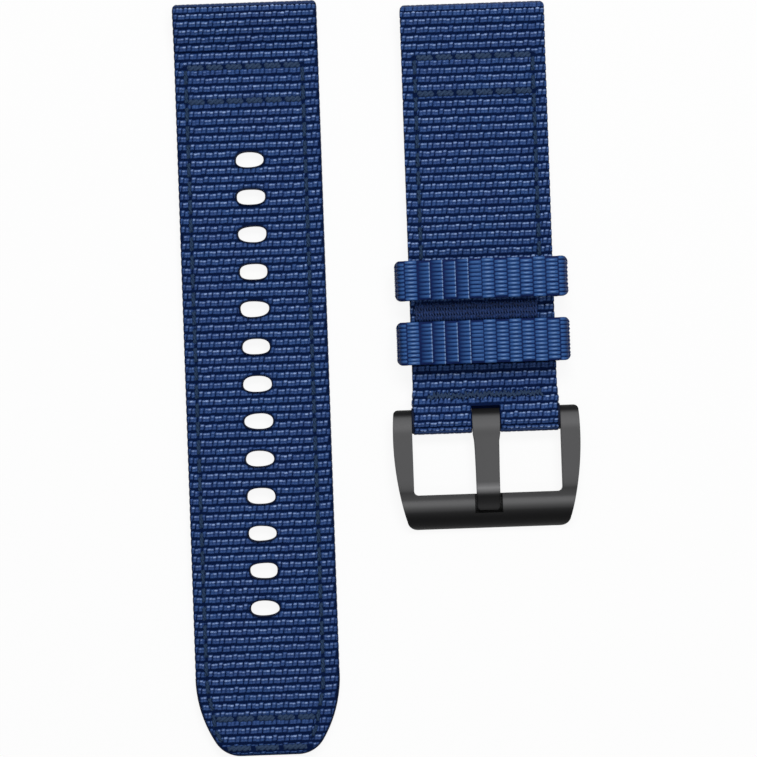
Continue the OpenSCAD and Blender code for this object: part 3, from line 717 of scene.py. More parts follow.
# How deep the ends of a stitch dive into the cloth
DIVE = 0.45 * MM


def threads(places, radius, twist):
    """Two-ply stitches that dive into the cloth at both ends, as points and faces."""
    sides, steps = 6, 11
    t = np.linspace(-1, 1, steps)
    spin = np.linspace(0, 2 * math.pi, sides, endpoint=False)
    end = np.abs(t) ** 8
    thick = 0.6 * radius * (1 - 0.35 * end)
    plies = []
    for middle, ahead, reach, side in places:
        up = np.array([0, 0, side], float)
        out = np.cross(ahead, up)
        section = np.outer(np.cos(spin), out) + np.outer(np.sin(spin), up)
        run = (reach + 0.1 * radius) * t
        for start in (0, math.pi):
            turn = run / twist * 2 * math.pi + start
            core = middle + np.outer(run, ahead) + np.outer(0.45 * radius * np.cos(turn), out)
            core += np.outer(0.3 * radius * np.sin(turn) - DIVE * end, up)
            plies.append((core[:, None] + thick[:, None, None] * section).reshape(-1, 3))
    faces = quads(steps, sides, ring=True, flip=True)
    return np.vstack(plies), repeat_faces(faces, len(plies), sides * steps)


def swept(path, x0, half_w, top, low, s0, s1):
    """A closed strip of ground from s0 to s1 along a path, between two heights."""
    cut = 0.1 * MM
    section = [
        (-half_w, low + cut), (-half_w, top - cut), (-half_w + cut, top), (half_w - cut, top),
        (half_w, top - cut), (half_w, low + cut), (half_w - cut, low), (-half_w + cut, low),
    ]
    s = np.unique(np.concatenate([path.run[(path.run > s0) & (path.run < s1)], [s0, s1]]))
    points = np.stack([path.lay(x0 + x, s, h) for x, h in section], axis=1).reshape(-1, 3)
    n, total = len(section), len(points)
    return points, [*quads(len(s), n, ring=True, flip=True), range(n)[::-1], range(total - n, total)]


def nose_band(path, x0, half_w, nose, reach, relief):
    """Smooth yarn between the flattened floats on the end of a fold."""
    top = -NOSE_DEPTH - relief
    return swept(path, x0, half_w, top, top - 0.2 * MM, nose - reach, nose + reach)


def flat_ground(outline, holes, low, top):
    """A flat cut of ground with holes in it, between two heights."""
    curve = bpy.data.curves.new("cut", "CURVE")
    curve.dimensions, curve.fill_mode = "2D", "BOTH"
    curve.extrude = (top - low) / 2
    for loop in [outline, *holes]:
        spline = curve.splines.new("POLY")
        spline.points.add(len(loop) - 1)
        places = np.column_stack([loop, np.zeros(len(loop)), np.ones(len(loop))])
        spline.points.foreach_set("co", places.ravel())
        spline.use_cyclic_u = True
    holder = bpy.data.objects.new("cut", curve)
    mesh = holder.to_mesh()
    points = np.array([v.co for v in mesh.vertices], float) + [0, 0, (top + low) / 2]
    faces = [list(p.vertices) for p in mesh.polygons]
    holder.to_mesh_clear()
    bpy.data.objects.remove(holder)
    bpy.data.curves.remove(curve)
    return points, faces


# Upper half of a melted rim's section: place in widths of the rim, and depth in mm below the cloth
RIM_SECTION = [(0.75, 0.14), (1.0, 0.056), (0.6, -0.028), (0.2, 0.028), (0.0, 0.196)]


def rims(loops, low, top, width, closed=True):
    """Melted rims: rounded bands on flat loops, which reach inward from each loop by width."""
    play = 0.01 * (top - low)
    section = [(i * width, top - d * MM) for i, d in RIM_SECTION]
    section += [(i, top + low - z) for i, z in section[::-1]]
    section = [(i, min(max(z, low - play), top + play)) for i, z in section]
    parts = []
    for loop in loops:
        ahead = np.roll(loop, -1, axis=0) - np.roll(loop, 1, axis=0)
        if not closed:
            ahead[0], ahead[-1] = loop[1] - loop[0], loop[-1] - loop[-2]
        inward = np.column_stack([-ahead[:, 1], ahead[:, 0]]) / np.linalg.norm(ahead, axis=1)[:, None]
        lines = [np.column_stack([loop + i * inward, np.full(len(loop), z)]) for i, z in section]
        faces = np.roll(quads(len(loop), len(section), loop=closed, flip=True), 1, axis=1)
        parts.append((np.stack(lines, 1).reshape(-1, 3), faces))
    return joined(*parts)


def punched(places, rng):
    """Outlines of the punched holes, each a little different, clockwise."""
    outlines = []
    for middle, half_x, half_y in places:
        a = np.linspace(0, 2 * math.pi, 40, endpoint=False)
        fullness = rng.uniform(2.1, 2.7)
        c, s = np.cos(a), np.sin(a)
        r = (np.abs(c) ** fullness + np.abs(s) ** fullness) ** (-1 / fullness)
        lean = rng.uniform(-0.1, 0.1)
        x = half_x * r * c * (1 + rng.uniform(-0.06, 0.06) * s) * rng.uniform(0.96, 1.04)
        y = half_y * r * s * (1 + lean * c) * rng.uniform(0.96, 1.06)
        outlines.append(np.column_stack([middle[0] + x, middle[1] + y])[::-1])
    return outlines


def hole_places(node):
    """Middle and half sizes of a strap node's holes, from the CAD points near its middle line."""
    near_middle, least_gap, least_hole = 3 * MM, 1.5 * MM, MM
    points = node_points(node)[:, :2]
    x0 = (points[:, 0].min() + points[:, 0].max()) / 2
    near = points[np.abs(points[:, 0] - x0) < near_middle]
    near = near[near[:, 1].argsort()]
    groups = np.split(near, np.flatnonzero(np.diff(near[:, 1]) > least_gap) + 1)
    boxes = [(g.min(0), g.max(0)) for g in groups]
    return [((low + high) / 2, *((high - low) / 2)) for low, high in boxes if high[1] - low[1] > least_hole]


def round_corner(points, x0, half_w, end, r):
    """X of the points, drawn in where the plan's corners are rounded."""
    past = np.clip(points[:, 1] - (end - r), 0, r)
    limit = np.where(past > 0, half_w - r + np.sqrt(r * r - past * past), np.inf)
    return x0 + np.clip(points[:, 0] - x0, -limit, limit)


def webbing(strap, name, made, finish, corner=None, replaces=()):
    """A piece of a strap's webbing, made as points, faces and perhaps a map and tones. corner says how its
    lug corners are rounded."""
    points, faces, marks, tone = made if len(made) > 2 else (*made, None, None)
    if corner:
        points[:, 0] = round_corner(points, *corner)
    return new_piece(name, points, faces, finish, strap, "webbing", replaces, finish != GROUND, marks, tone)


def sew_seams(body, sew, *seams):
    """Threads of seams, each a name, places, a thread's radius and finish, and the CAD node it stands for."""
    for name, places, radius, finish, node in seams:
        new_piece(name, *threads(places, radius, sew.twist), finish, body, "thread", [node])


# How far past the lug end the tip's outline runs on, so that it cuts nothing on the fold
PAST_FOLD = 60 * MM
# Length of the tip that has a melted rim
TIP_RIM = 12.5 * MM


class BAND_OT_tail_strap(bpy.types.Operator):
    """Weave and sew the long strap with its punched holes"""

    bl_idname = "band.tail_strap"
    bl_label = "Tail strap"

    def execute(self, context):
        strap, style, sew = "tail_strap", context.scene.band_weave, context.scene.band_thread
        rng = np.random.default_rng(SEED)
        (low, high), (lining_low, lining_high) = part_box("tail_front_webbing"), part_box("tail_lining")
        x0, half_w = (low.x + high.x) / 2, (high.x - low.x) / 2
        ply, loop = lining_high.z - lining_low.z, (high.z - low.z) / 2
        top, tip, lug, lining_end = 2 * ply, low.y, high.y, lining_high.y
        axis, flat_end = (lug - loop, loop), (lug - style.lug_ramp, top)
        bend = arc(axis, loop, touch(flat_end, axis, loop, 1), -math.pi / 2, 40)
        front = Path([(tip, top), flat_end, *bend, (lining_end + style.lining_gap, 0)])
        under = Path([(lining_end, 0), (tip, 0)])
        outline = hull(node_points("tail_lining")[:, :2])
        holes = punched(hole_places("tail_lining"), rng)
        side = flared(stitch_places("tail_side_stitching", ply), x0, tip)
        cross = flared(spread_out(stitch_places("tail_cross_stitching", ply), x0, sew), x0, tip)
        stitches = [(side, sew.side_radius), (cross, sew.cross_radius)]
        inner_w = half_w - style.inset
        corner, inner_corner = (x0, half_w, lug, style.corner), (x0, inner_w, lug, style.corner)

        def run_on(end):
            sides = outline[outline[:, 1] < lining_end - MM]
            return np.vstack([sides, [[x0 + half_w, end], [x0 - half_w, end]]])

        def drawn_in(end):
            shrink = [1 - style.inset / half_w, 1 - style.inset / (end - tip)]
            return [x0, end] + (hull(run_on(end)) - [x0, end]) * shrink

        def flat(loop_points, start, way):
            return hull(np.column_stack([loop_points[:, 0] - x0, way * (loop_points[:, 1] - start)]))

        grounds = joined(
            flat_ground(drawn_in(flat_end[0]), holes, ply, top - style.ground),
            swept(front, x0, inner_w, -style.ground, -ply, flat_end[0] - tip, front.length),
        )
        ground = webbing(strap, "tail_front_ground", grounds, GROUND, inner_corner, ["tail_front_webbing"])
        cut = flat_ground(drawn_in(lining_end), holes, style.ground, ply)
        lining = webbing(strap, "tail_lining_ground", cut, GROUND, None, ["tail_lining"])
        nose = front.run[front.points[:, 0].argmax()]
        floats = weave(
            front, x0, half_w, ply, rng, stitches, flat(run_on(lug + PAST_FOLD), tip, 1),
            [flat(h, tip, 1) for h in holes], cut_end=-1, folds=[(nose, style.nose)],
            seam=max(middle[1] for middle, *_ in cross) - tip,
        )
        warp = webbing(strap, "tail_front_warp", floats, WARP, corner)
        floats = weave(
            under, x0, half_w, ply, rng, stitches, flat(run_on(lining_end + MM), lining_end, -1),
            [flat(h, lining_end, -1) for h in holes], fine=False, cut_end=1,
        )
        lining_warp = webbing(strap, "tail_lining_warp", floats, WARP)
        tip_line = outline[outline[:, 1] < tip + TIP_RIM]
        tip_line = tip_line[np.argsort(np.arctan2(tip_line[:, 1] - tip - TIP_RIM, tip_line[:, 0] - x0))]
        fused = joined(rims(holes, 0.0, top, style.rim), rims([tip_line], 0.0, top, style.rim, False))
        rim = webbing(strap, "tail_fused_edges", fused, FUSED_AND_SHADE)
        band = nose_band(front, x0, half_w, nose, style.nose, style.nose_relief)
        fold = webbing(strap, "tail_fold", band, SMOOTH, corner)
        sew_seams(
            strap, sew,
            ("tail_side_thread", side, sew.side_radius, BONDED, "tail_side_stitching"),
            ("tail_cross_thread", cross, sew.cross_radius, WAXED, "tail_cross_stitching"),
        )
        return {"FINISHED"}


def joint(name):
    return next(j for j in frame["joints"] if j["name"] == name)


def bar_axis():
    """The buckle bar's axis, from the joint that the frame turns on."""
    return joint("frame_swing")["pos_m"]


# Painted shadow of the fixed keeper on the webbing: how dark it is, and the distances over which it starts in
# front and ends behind
KEEPER_PAINTED_SHADOW = 0.45
SHADE_START, SHADE_END = (-1.6 * MM, -0.6 * MM), (0, 0.6 * MM)


class BAND_OT_buckle_strap(bpy.types.Operator):
    """Weave and sew the short strap with its folds and tack"""

    bl_idname = "band.buckle_strap"
    bl_label = "Buckle strap"

    def execute(self, context):
        strap, style, sew = "buckle_strap", context.scene.band_weave, context.scene.band_thread
        rng = np.random.default_rng(SEED + 1)
        x0, bar_y, bar_z = bar_axis()
        (low, high), (lining_low, lining_high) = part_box("buckle_front_webbing"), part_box("buckle_lining")
        half_w, ply = (high.x - low.x) / 2, lining_high.z - lining_low.z
        bar_loop, lug_loop = bar_y - low.y, (high.z - low.z) / 2
        bar, axis = (bar_y, bar_z), (high.y - lug_loop, bar_z)
        fold_end, turn_end = lining_low.y - style.lining_gap, lining_high.y + style.lining_gap
        up, down = bar_z + ply, bar_z - ply
        ramp_y, flat_y = bar_y + style.fold_ramp, high.y - style.lug_ramp
        bar_turn, lug_turn = touch((ramp_y, up), bar, bar_loop, -1), touch((flat_y, up), axis, lug_loop, 1)
        front = Path([
            (fold_end, down), (ramp_y, down), *arc(bar, bar_loop, 2 * math.pi - bar_turn, bar_turn, 40),
            (ramp_y, up), (flat_y, up), *arc(axis, lug_loop, lug_turn, -lug_turn, 40), (flat_y, down),
            (turn_end, down),
        ])
        under = Path([(lining_high.y, down), (lining_low.y, down)])
        side = stitch_places("buckle_side_stitching", bar_z)
        cross = spread_out(stitch_places("buckle_cross_stitching", bar_z), x0, sew)
        stitches = [(side, sew.side_radius), (cross, sew.cross_radius)]
        zigzag = zigzag_places(*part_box("bar_seam_stitching"), sew, np.random.default_rng(SEED + 3))
        tack = tack_places(*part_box("keeper_tack"), sew)
        inner_w, half_slot = half_w - style.inset, style.slot_width / 2
        corner, inner_corner = (x0, half_w, high.y, style.corner), (x0, inner_w, high.y, style.corner)
        start = fold_end - (bar_y + style.slot_end)
        stop = upper_run(front, bar_y + style.slot_end + style.slot_play)
        width = (inner_w - half_slot) / 2
        beside_slot = [x0 + way * (half_slot + width) for way in (-1, 1)]
        skin = -style.ground, -ply
        cut = joined(
            swept(front, x0, inner_w, *skin, 0, start),
            *(swept(front, x, width, *skin, start, stop) for x in beside_slot),
            swept(front, x0, inner_w, *skin, stop, front.length),
        )
        ground = webbing(strap, "buckle_front_ground", cut, GROUND, inner_corner, ["buckle_front_webbing"])
        slot = np.array([[-half_slot, start], [half_slot, start], [half_slot, stop], [-half_slot, stop]])
        bar_nose, lug_nose = front.run[front.points[:, 0].argmin()], front.run[front.points[:, 0].argmax()]
        points, faces, marks, tone = weave(
            front, x0, half_w, ply, rng, stitches + [(zigzag, sew.zigzag_radius), (tack, sew.tack_radius)],
            slot=slot, spread=style.spread, folds=[(bar_nose, style.bar_nose), (lug_nose, style.nose)],
            seam=upper_run(front, max(middle[1] for middle, *_ in cross)),
        )
        # Painted shadow: the webbing's tone is darkened under the fixed keeper and just in front of it
        keeper_low, keeper_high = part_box("fixed_keeper")
        keeper_painted_shadow = ease(*SHADE_START, points[:, 1] - keeper_low.y)
        keeper_painted_shadow *= 1 - ease(*SHADE_END, points[:, 1] - keeper_high.y)
        floats = points, faces, marks, tone * (1 - KEEPER_PAINTED_SHADOW * keeper_painted_shadow)
        warp = webbing(strap, "buckle_front_warp", floats, WARP, corner)
        # Painted shade: dark strips in the spread edges, which fill the gap beside the frame's ears
        half_shade_strip, reach = style.spread / 2, style.spread_shade
        fused = joined(*(
            swept(front, x0 + way * (half_w + half_shade_strip - style.inset), half_shade_strip + style.inset,
                  -0.2 * ply, -ply, bar_nose - reach, bar_nose + reach)
            for way in (-1, 1)
        ))
        rim = webbing(strap, "buckle_fused_edges", fused, FUSED_AND_SHADE)
        bands = joined(
            nose_band(front, x0, half_w, lug_nose, style.nose, style.nose_relief),
            *(nose_band(front, x, width, bar_nose, style.bar_nose, style.nose_relief) for x in beside_slot),
        )
        fold = webbing(strap, "buckle_folds", bands, SMOOTH, corner)
        strip = swept(under, x0, inner_w, *skin, 0, under.length)
        lining = webbing(strap, "buckle_lining_ground", strip, GROUND, None, ["buckle_lining"])
        floats = weave(under, x0, half_w, ply, rng, stitches, fine=False)
        lining_warp = webbing(strap, "buckle_lining_warp", floats, WARP)
        sew_seams(
            strap, sew,
            ("buckle_side_thread", side, sew.side_radius, BONDED, "buckle_side_stitching"),
            ("buckle_cross_thread", cross, sew.cross_radius, WAXED, "buckle_cross_stitching"),
            ("bar_seam_thread", zigzag, sew.zigzag_radius, WAXED, "bar_seam_stitching"),
            ("keeper_tack_thread", tack, sew.tack_radius, SATIN, "keeper_tack"),
        )
        return {"FINISHED"}


def upper_run(path, y):
    """Path length at which the upper run of a folded ply comes back to y."""
    upper = slice(path.points[:, 0].argmin(), path.points[:, 0].argmax() + 1)
    return np.interp(y, path.points[upper, 0], path.run[upper])


def zigzag_places(low, high, sew, rng):
    """Uneven stitches that slant to and fro across a seam, on both faces."""
    count = round((high.x - low.x) / sew.zigzag_pitch)
    step, y = (high.x - low.x) / count, (low.y + high.y) / 2
    places = []
    for side, z in ((1, high.z - sew.zigzag_sink), (-1, low.z + sew.zigzag_sink)):
        for k in range(count):
            slant = step * (-1) ** k * rng.uniform(0.6, 2.6)
            ahead = np.array([slant, sew.zigzag_height * rng.uniform(0.45, 1), 0])
            reach = np.linalg.norm(ahead) / 2
            middle = np.array([low.x + (k + 0.5) * step, y + rng.uniform(-0.2, 0.2) * sew.zigzag_height, z])
            places.append((middle, ahead / (2 * reach), reach, side))
    return places


def tack_places(low, high, sew):
    """Satin stitches that fill the tack on both faces."""
    count = round((high.x - low.x) / sew.tack_pitch)
    step, y, reach = (high.x - low.x) / count, (low.y + high.y) / 2, (high.y - low.y) / 2
    return [
        (np.array([low.x + (k + 0.5) * step, y, z]), np.array([0.0, 1.0, 0.0]), reach, side)
        for side, z in ((-1, low.z + sew.tack_sink), (1, high.z - sew.tack_sink))
        for k in range(count)
    ]


class BAND_OT_keepers(bpy.types.Operator):
    """Weave the two tape loops that hold the tail"""

    bl_idname = "band.keepers"
    bl_label = "Keepers"

    def execute(self, context):
        style, sew = context.scene.band_keepers, context.scene.band_thread
        rng = np.random.default_rng(SEED + 2)
        for node, body in (("fixed_keeper", "buckle_strap"), ("free_keeper", "free_keeper")):
            low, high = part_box(node)
            loop = loop_path(low, high, style.corner, style.bow)
            y0, half = (low.y + high.y) / 2, (high.y - low.y) / 2
            points, faces = tape(loop, y0, half - style.inset, 0.85 * style.depth, style.tape)
            points[:, 1] = folded_y(points, low, high, style.end_round)
            new_piece(node + "_ground", points, faces, TAPE_GROUND, body, "keeper_tape", [node])
            points, faces, marks, tone = tape_floats(loop, y0, half, style, rng)
            points[:, 1] = folded_y(points, low, high, style.end_round)
            new_piece(node + "_floats", points, faces, TAPE, body, "keeper_tape", marks=marks, tone=tone)
            places = stitch_places(node + "_seam", high.z)
            sew_seams(body, sew, (node + "_thread", places, sew.keeper_radius, WAXED, node + "_seam"))
        return {"FINISHED"}


def folded_y(points, low, high, r):
    """Y of a tape loop's points, drawn in where the tape folds down at either end."""
    reach, middle = (high.x - low.x) / 2, (low + high) / 2
    past = np.clip(np.abs(points[:, 0] - middle.x) - (reach - r), 0, r)
    limit = (high.y - low.y) / 2 - r + np.sqrt(r * r - past * past)
    return middle.y + np.clip(points[:, 1] - middle.y, -limit, limit)


def loop_path(low, high, r, bow):
    """Closed loop of tape in X and Z, with the outside on the left, from the middle of the lower run."""
    middle, reach = (low.x + high.x) / 2, (high.x - low.x) / 2 - r
    left, right = middle - reach, middle + reach
    crown = [(middle + t * reach, high.z + bow * (1 - t * t)) for t in np.linspace(-1, 1, 25)[1:-1]]
    return Path([
        (middle, low.z),
        *arc((left, low.z + r), r, -0.5 * math.pi, -math.pi, 12),
        *arc((left, high.z - r), r, -math.pi, -1.5 * math.pi, 12),
        *crown,
        *arc((right, high.z - r), r, 0.5 * math.pi, 0, 12),
        *arc((right, low.z + r), r, 0, -0.5 * math.pi, 12),
        (middle, low.z),
    ])


def on_loop(loop, y, s, h):
    """Points on a tape loop at y across it."""
    flat = loop.lay(0, s, h)
    return np.stack(np.broadcast_arrays(flat[..., 1], y, flat[..., 2]), axis=-1)


def tape(loop, y0, half, skin, thick):
    """The ground of a tape loop, as a closed band."""
    cut = 0.12 * MM
    section = [
        (-half, -skin - cut), (-half + cut, -skin), (half - cut, -skin), (half, -skin - cut),
        (half, -thick), (-half, -thick),
    ]
    s = np.unique(np.concatenate([loop.run[:-1], np.linspace(0, loop.length, 140)[:-1]]))
    s = s[np.concatenate([[True], np.diff(s) > 1e-6])]
    points = np.stack([on_loop(loop, y0 + y, s, h) for y, h in section], axis=1)
    return points.reshape(-1, 3), quads(len(s), len(section), loop=True, ring=True, flip=True)


# Places along X from a keeper's middle between which its floats start to lean, and between which they stop
LEAN_START, LEAN_END = (-10.5 * MM, -9 * MM), (-2.5 * MM, 0.5 * MM)
# Painted shade: how much darker the tape is where it folds down, and how far from its end that starts and is
# full
END_PAINTED_SHADE, END_FOLD = 0.75, (1.5 * MM, 0.5 * MM)


def tape_floats(loop, y0, half, style, rng):
    """Floats of the tape in columns, with every second column half a float across. Left of the middle of the
    upper run they lean, and their tone paints a pale line across the tape at their high ends as a painted
    highlight, with painted shade on the rest of them."""
    columns = 2 * round(loop.length / style.column / 2)
    step = loop.length / columns
    rows = round(2 * half / style.float_pitch)
    gauge = 2 * half / rows
    yarn = round_profile(5)
    u, v, _, faces = pillow(yarn, round_profile(9))
    places = [
        ((c + 0.5) * step, -half + (k + 0.5 + 0.5 * (c % 2)) * gauge)
        for c in range(columns) for k in range(rows - c % 2)
    ]
    s, y = np.array(places).T
    along = s[:, None] + 0.5 * step * v
    across = np.clip(y[:, None] + 0.46 * gauge * u + rng.normal(0, 0.015 * MM, (len(s), 1)), -half, half)
    x, z = (np.interp(s, loop.run, c)[:, None] for c in loop.points.T)
    middle_x, middle_z = loop.points.mean(0)
    lean = 0.92 * (z > middle_z) * ease(*LEAN_START, x - middle_x) * (1 - ease(*LEAN_END, x - middle_x))
    ridge = np.where(v < lean, (1 + v) / (1 + lean), (1 - v) / (1 - lean))
    ridge = (1 - (1 - ridge) ** (2.2 - 1.1 * lean)) ** (0.6 + 0.3 * lean)
    height = ridge * np.repeat(yarn[:, 1], len(v) // len(yarn))
    rise = style.depth * height * rng.normal(1, UNEVEN, (len(s), 1)) - style.depth
    points = on_loop(loop, y0 + across, np.mod(along, loop.length), rise)
    # Tone: a painted highlight line at the high ends of the leaning floats, painted shade on their bodies
    line = 1.2 * np.exp(-(((v - 0.9) / 0.2) ** 2))
    tone = (1 - lean) * height + lean * np.maximum(0.65 * height, line)
    # Painted shade where the tape folds down at either end
    out = np.abs(points[..., 0] - middle_x)
    tone = tone * (1 - END_PAINTED_SHADE * ease(*(out.max() - d for d in END_FOLD), out))
    shares = (along + step) / (loop.length + 2 * step), (across + half) / (2 * half)
    marks = np.stack([clear_of_edges(value, 0.02) for value in shares], -1)
    return points.reshape(-1, 3), repeat_faces(faces, len(s), len(u)), marks.reshape(-1, 2), tone.ravel()


class BAND_OT_buckle(bpy.types.Operator):
    """Form the buckle's frame and tongue, and finish its spring bar"""

    bl_idname = "band.buckle"
    bl_label = "Buckle"

    def execute(self, context):
        style = context.scene.band_buckle
        for node, build in (("buckle_frame", frame_mesh), ("buckle_tongue", tongue_mesh)):
            points, faces, tone = build(style)
            piece = new_piece(node + "_plate", points, faces, COATED, node, "gunmetal", [node], tone=tone)
            piece.data.set_sharp_from_angle(angle=math.radians(40))
        spring_halves()
        for node in ("bar_tube", "bar_plunger_left", "bar_plunger_right"):
            part = frame["nodes"][node]
            part.data.materials.clear()
            part.data.materials.append(material(STEEL))
        return {"FINISHED"}


def spring_halves():
    """The bar's spring in two halves, each of which is pressed towards the middle by its own plunger."""
    points = node_points("bar_spring")
    faces = [list(f.vertices) for f in frame["nodes"]["bar_spring"].data.polygons]
    low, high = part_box("bar_spring")
    middle, reach = (low + high) / 2, (high.x - low.x) / 2
    for end, way in (("left", -1), ("right", 1)):
        half = [f for f in faces if way * (points[f, 0].mean() - middle.x) > 0]
        used, index = np.unique(np.concatenate(half), return_inverse=True)
        index = np.split(index, np.cumsum([len(f) for f in half])[:-1])
        piece = new_piece("bar_spring_" + end, points[used], index, STEEL, "buckle_strap", "spring_steel",
                          ["bar_spring"])
        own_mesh(piece)


# Painted shade: share of the coat's lightness on the lower faces of the frame and the tongue
PAINTED_SHADE_BELOW = 0.2
# Painted light and shade by the distance in mm from a rounded end: dark on the end, a painted highlight past
# it
END_PAINTED_LIGHT = np.array(
    [(0, 0.12), (0.7, 0.14), (0.95, 0.5), (1.15, 0.95), (1.4, 1.1), (1.9, 1.35), (2.6, 1.47), (3.1, 1.25),
     (3.6, 1)]
)
# And by the distance in mm behind the front edge of the window
BAR_PAINTED_LIGHT = np.array(
    [(-3.7, 0.08), (-3.2, 0.12), (-2.9, 0.17), (-2.6, 0.26), (-2.4, 0.46), (-2.0, 0.8), (-1.7, 1.14),
     (-1.5, 1.38), (-1.05, 1.38), (-0.9, 1.18), (-0.75, 0.86), (-0.6, 0.64), (0, 0.52), (0.5, 0.42),
     (0.7, 0.61), (1.1, 0.84), (1.6, 0.94), (2.4, 1)]
)
# And by the distance in mm behind the bend of the tongue
TIP_PAINTED_LIGHT = np.array(
    [(-2.7, 0.3), (-2.1, 0.4), (-1.3, 0.2), (-0.4, 0.13), (-0.15, 0.2), (0.05, 0.55), (0.25, 0.95),
     (0.5, 1.8), (0.8, 2.4), (1.1, 2.1), (1.35, 1.5), (1.6, 1)]
)


def painted_light_tone(behind_end, behind_bend, at_bend):
    """Painted light and shade: share of the coat's lightness at distances from a rounded end and from a bend.
    """
    return np.interp(behind_end / MM, *END_PAINTED_LIGHT.T) * np.interp(behind_bend / MM, *at_bend.T)


def circle(r, offset):
    """Height of a circle at an offset from its middle, and 0 past its ends."""
    return np.sqrt(np.clip(r * r - offset * offset, 0, None))


def spaced(a, b, n):
    """Places from a to b that crowd towards both."""
    return a + (b - a) * (1 - np.cos(np.linspace(0, math.pi, n + 1))) / 2


def frame_mesh(style):
    """The frame as a sheet of points above its plan and another below it, with rounded edges."""
    x0, bar_y, bar_z = bar_axis()
    low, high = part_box("buckle_frame")
    half, back, front = (high.x - low.x) / 2, high.y - bar_y, low.y - bar_y
    gap, window = style.inner_gap / 2, front + style.front_bar
    front_y, back_y = front + style.front_corner, back - style.ear_corner
    ear, roll_at, roll_z = back, front + style.roll, back - style.roll
    small_roll = style.roll - style.plate

    def bow_x(y, r):
        return half - style.side_bow + np.sqrt((style.side_bow - r) ** 2 - (y + style.widest) ** 2)

    def outer(y):
        x = bow_x(y, 0)
        corners = (front_y, style.front_corner, y < front_y), (back_y, style.ear_corner, y > back_y)
        for centre, r, past in corners:
            x = np.where(past, np.minimum(x, bow_x(centre, r) + circle(r, y - centre)), x)
        return x

    def inner(y):
        r = style.window_corner
        return gap - r + circle(r, np.clip(window + r - y, 0, r))

    def top_of(y):
        roll = roll_z + circle(style.roll, y - roll_at)
        return np.where(y > 0, circle(ear, y), np.where(y > roll_at, ear, roll))

    def low_of(y):
        plate, ear_z = ear - style.plate, -circle(ear, y)
        roll = np.where(y < roll_at - small_roll, -ear, roll_z + circle(small_roll, y - roll_at))
        flat = np.where(y > roll_at, plate, np.maximum(-ear, roll))
        return np.where(np.abs(y) < ear, np.minimum(ear_z, np.where(y < 0, plate, ear_z)), flat)

    notch_half = style.tongue_width / 2 + style.notch_gap
    notch_end = window - style.tip_reach - style.notch_gap

    def notch_of(y):
        ahead = np.clip(window - y, 0, None)
        r, turned = style.tongue_bend, style.tongue_bend * math.sin(style.tip_bend)
        bend = r - circle(r, np.minimum(ahead, turned))
        slope = math.tan(style.tip_bend) * np.clip(ahead - turned, 0, None)
        thick = style.tongue_thickness / math.cos(style.tip_bend)
        return style.tongue_top - bend - slope - thick - style.notch_gap

    wall = [notch_end - 0.02 * MM, notch_end + 0.02 * MM]
    bar_rows = np.union1d(spaced(front, window, 26), wall)
    rows = np.concatenate([bar_rows, spaced(window, back, 46)[1:]])
    side, slit = notch_half / gap, 1e-3
    steps = np.concatenate([
        spaced(-1, -side - slit, 10)[1:], [-side], spaced(-side + slit, side - slit, 8), [side],
        spaced(side + slit, 1, 10)[:-1],
    ])
    o = outer(rows)
    o[0], o[-1] = bow_x(front_y, style.front_corner), bow_x(back_y, style.ear_corner)
    i = np.minimum(inner(np.maximum(rows, window)), o - 0.1 * MM)
    o, i = o[:, None], i[:, None]
    arm = o - (o - i) * spaced(0, 1, 14)
    x = np.hstack([-arm, i * steps, arm[:, ::-1]])
    wide = arm.shape[1]
    kept = np.ones(x.shape, bool)
    kept[len(bar_rows) :, wide:-wide] = False
    corners = quads(*x.shape, flip=True)
    row, column = corners[:, 0] // x.shape[1], corners[:, 0] % x.shape[1]
    in_window = (row + 1 >= len(bar_rows)) & (column >= wide - 1) & (column < wide + len(steps))
    faces = (np.cumsum(kept) - 1)[corners[~in_window]].tolist()
    x, y = x[kept], np.broadcast_to(rows[:, None], kept.shape)[kept]
    edges = {}
    for f in faces:
        for a, b in zip(f, f[1:] + f[:1]):
            if (b, a) in edges:
                del edges[b, a]
            else:
                edges[a, b] = True
    a, b = np.array(list(edges)).T
    t = np.linspace(0, 1, 6)
    rim_x, rim_y = ((c[a, None] + (c[b] - c[a])[:, None] * t).ravel() for c in (x, y))
    away = np.hypot(x[:, None] - rim_x, y[:, None] - rim_y).min(1)
    upper, lower = top_of(y), low_of(y)
    r = style.edge
    rounding = r - circle(r, np.clip(r - away, 0, r))
    lower = lower + 0.7 * (rounding * np.clip((upper - lower) / MM, 0, 1))
    upper = upper - rounding * np.clip((upper - lower) / MM, 0, 1)
    inside = (np.abs(x) < notch_half) & (y > notch_end) & (y < window + 0.01 * MM)
    upper = np.where(inside, np.minimum(upper, notch_of(y)), upper)
    upper = np.maximum(upper, lower + 0.01 * MM)
    n = len(x)
    points = np.vstack([np.column_stack([x, y, z]) for z in (upper, lower)]) + [x0, bar_y, bar_z]
    skin = faces + [[k + n for k in f[::-1]] for f in faces]
    skin += [[b, a, a + n, b + n] for a, b in edges]
    # Painted light and shade: bands by the distance from the rounded ends and the window, painted shade below
    tone = np.concatenate([painted_light_tone(back - y, y - window, BAR_PAINTED_LIGHT), np.full(n, PAINTED_SHADE_BELOW)])
    return points, skin, tone


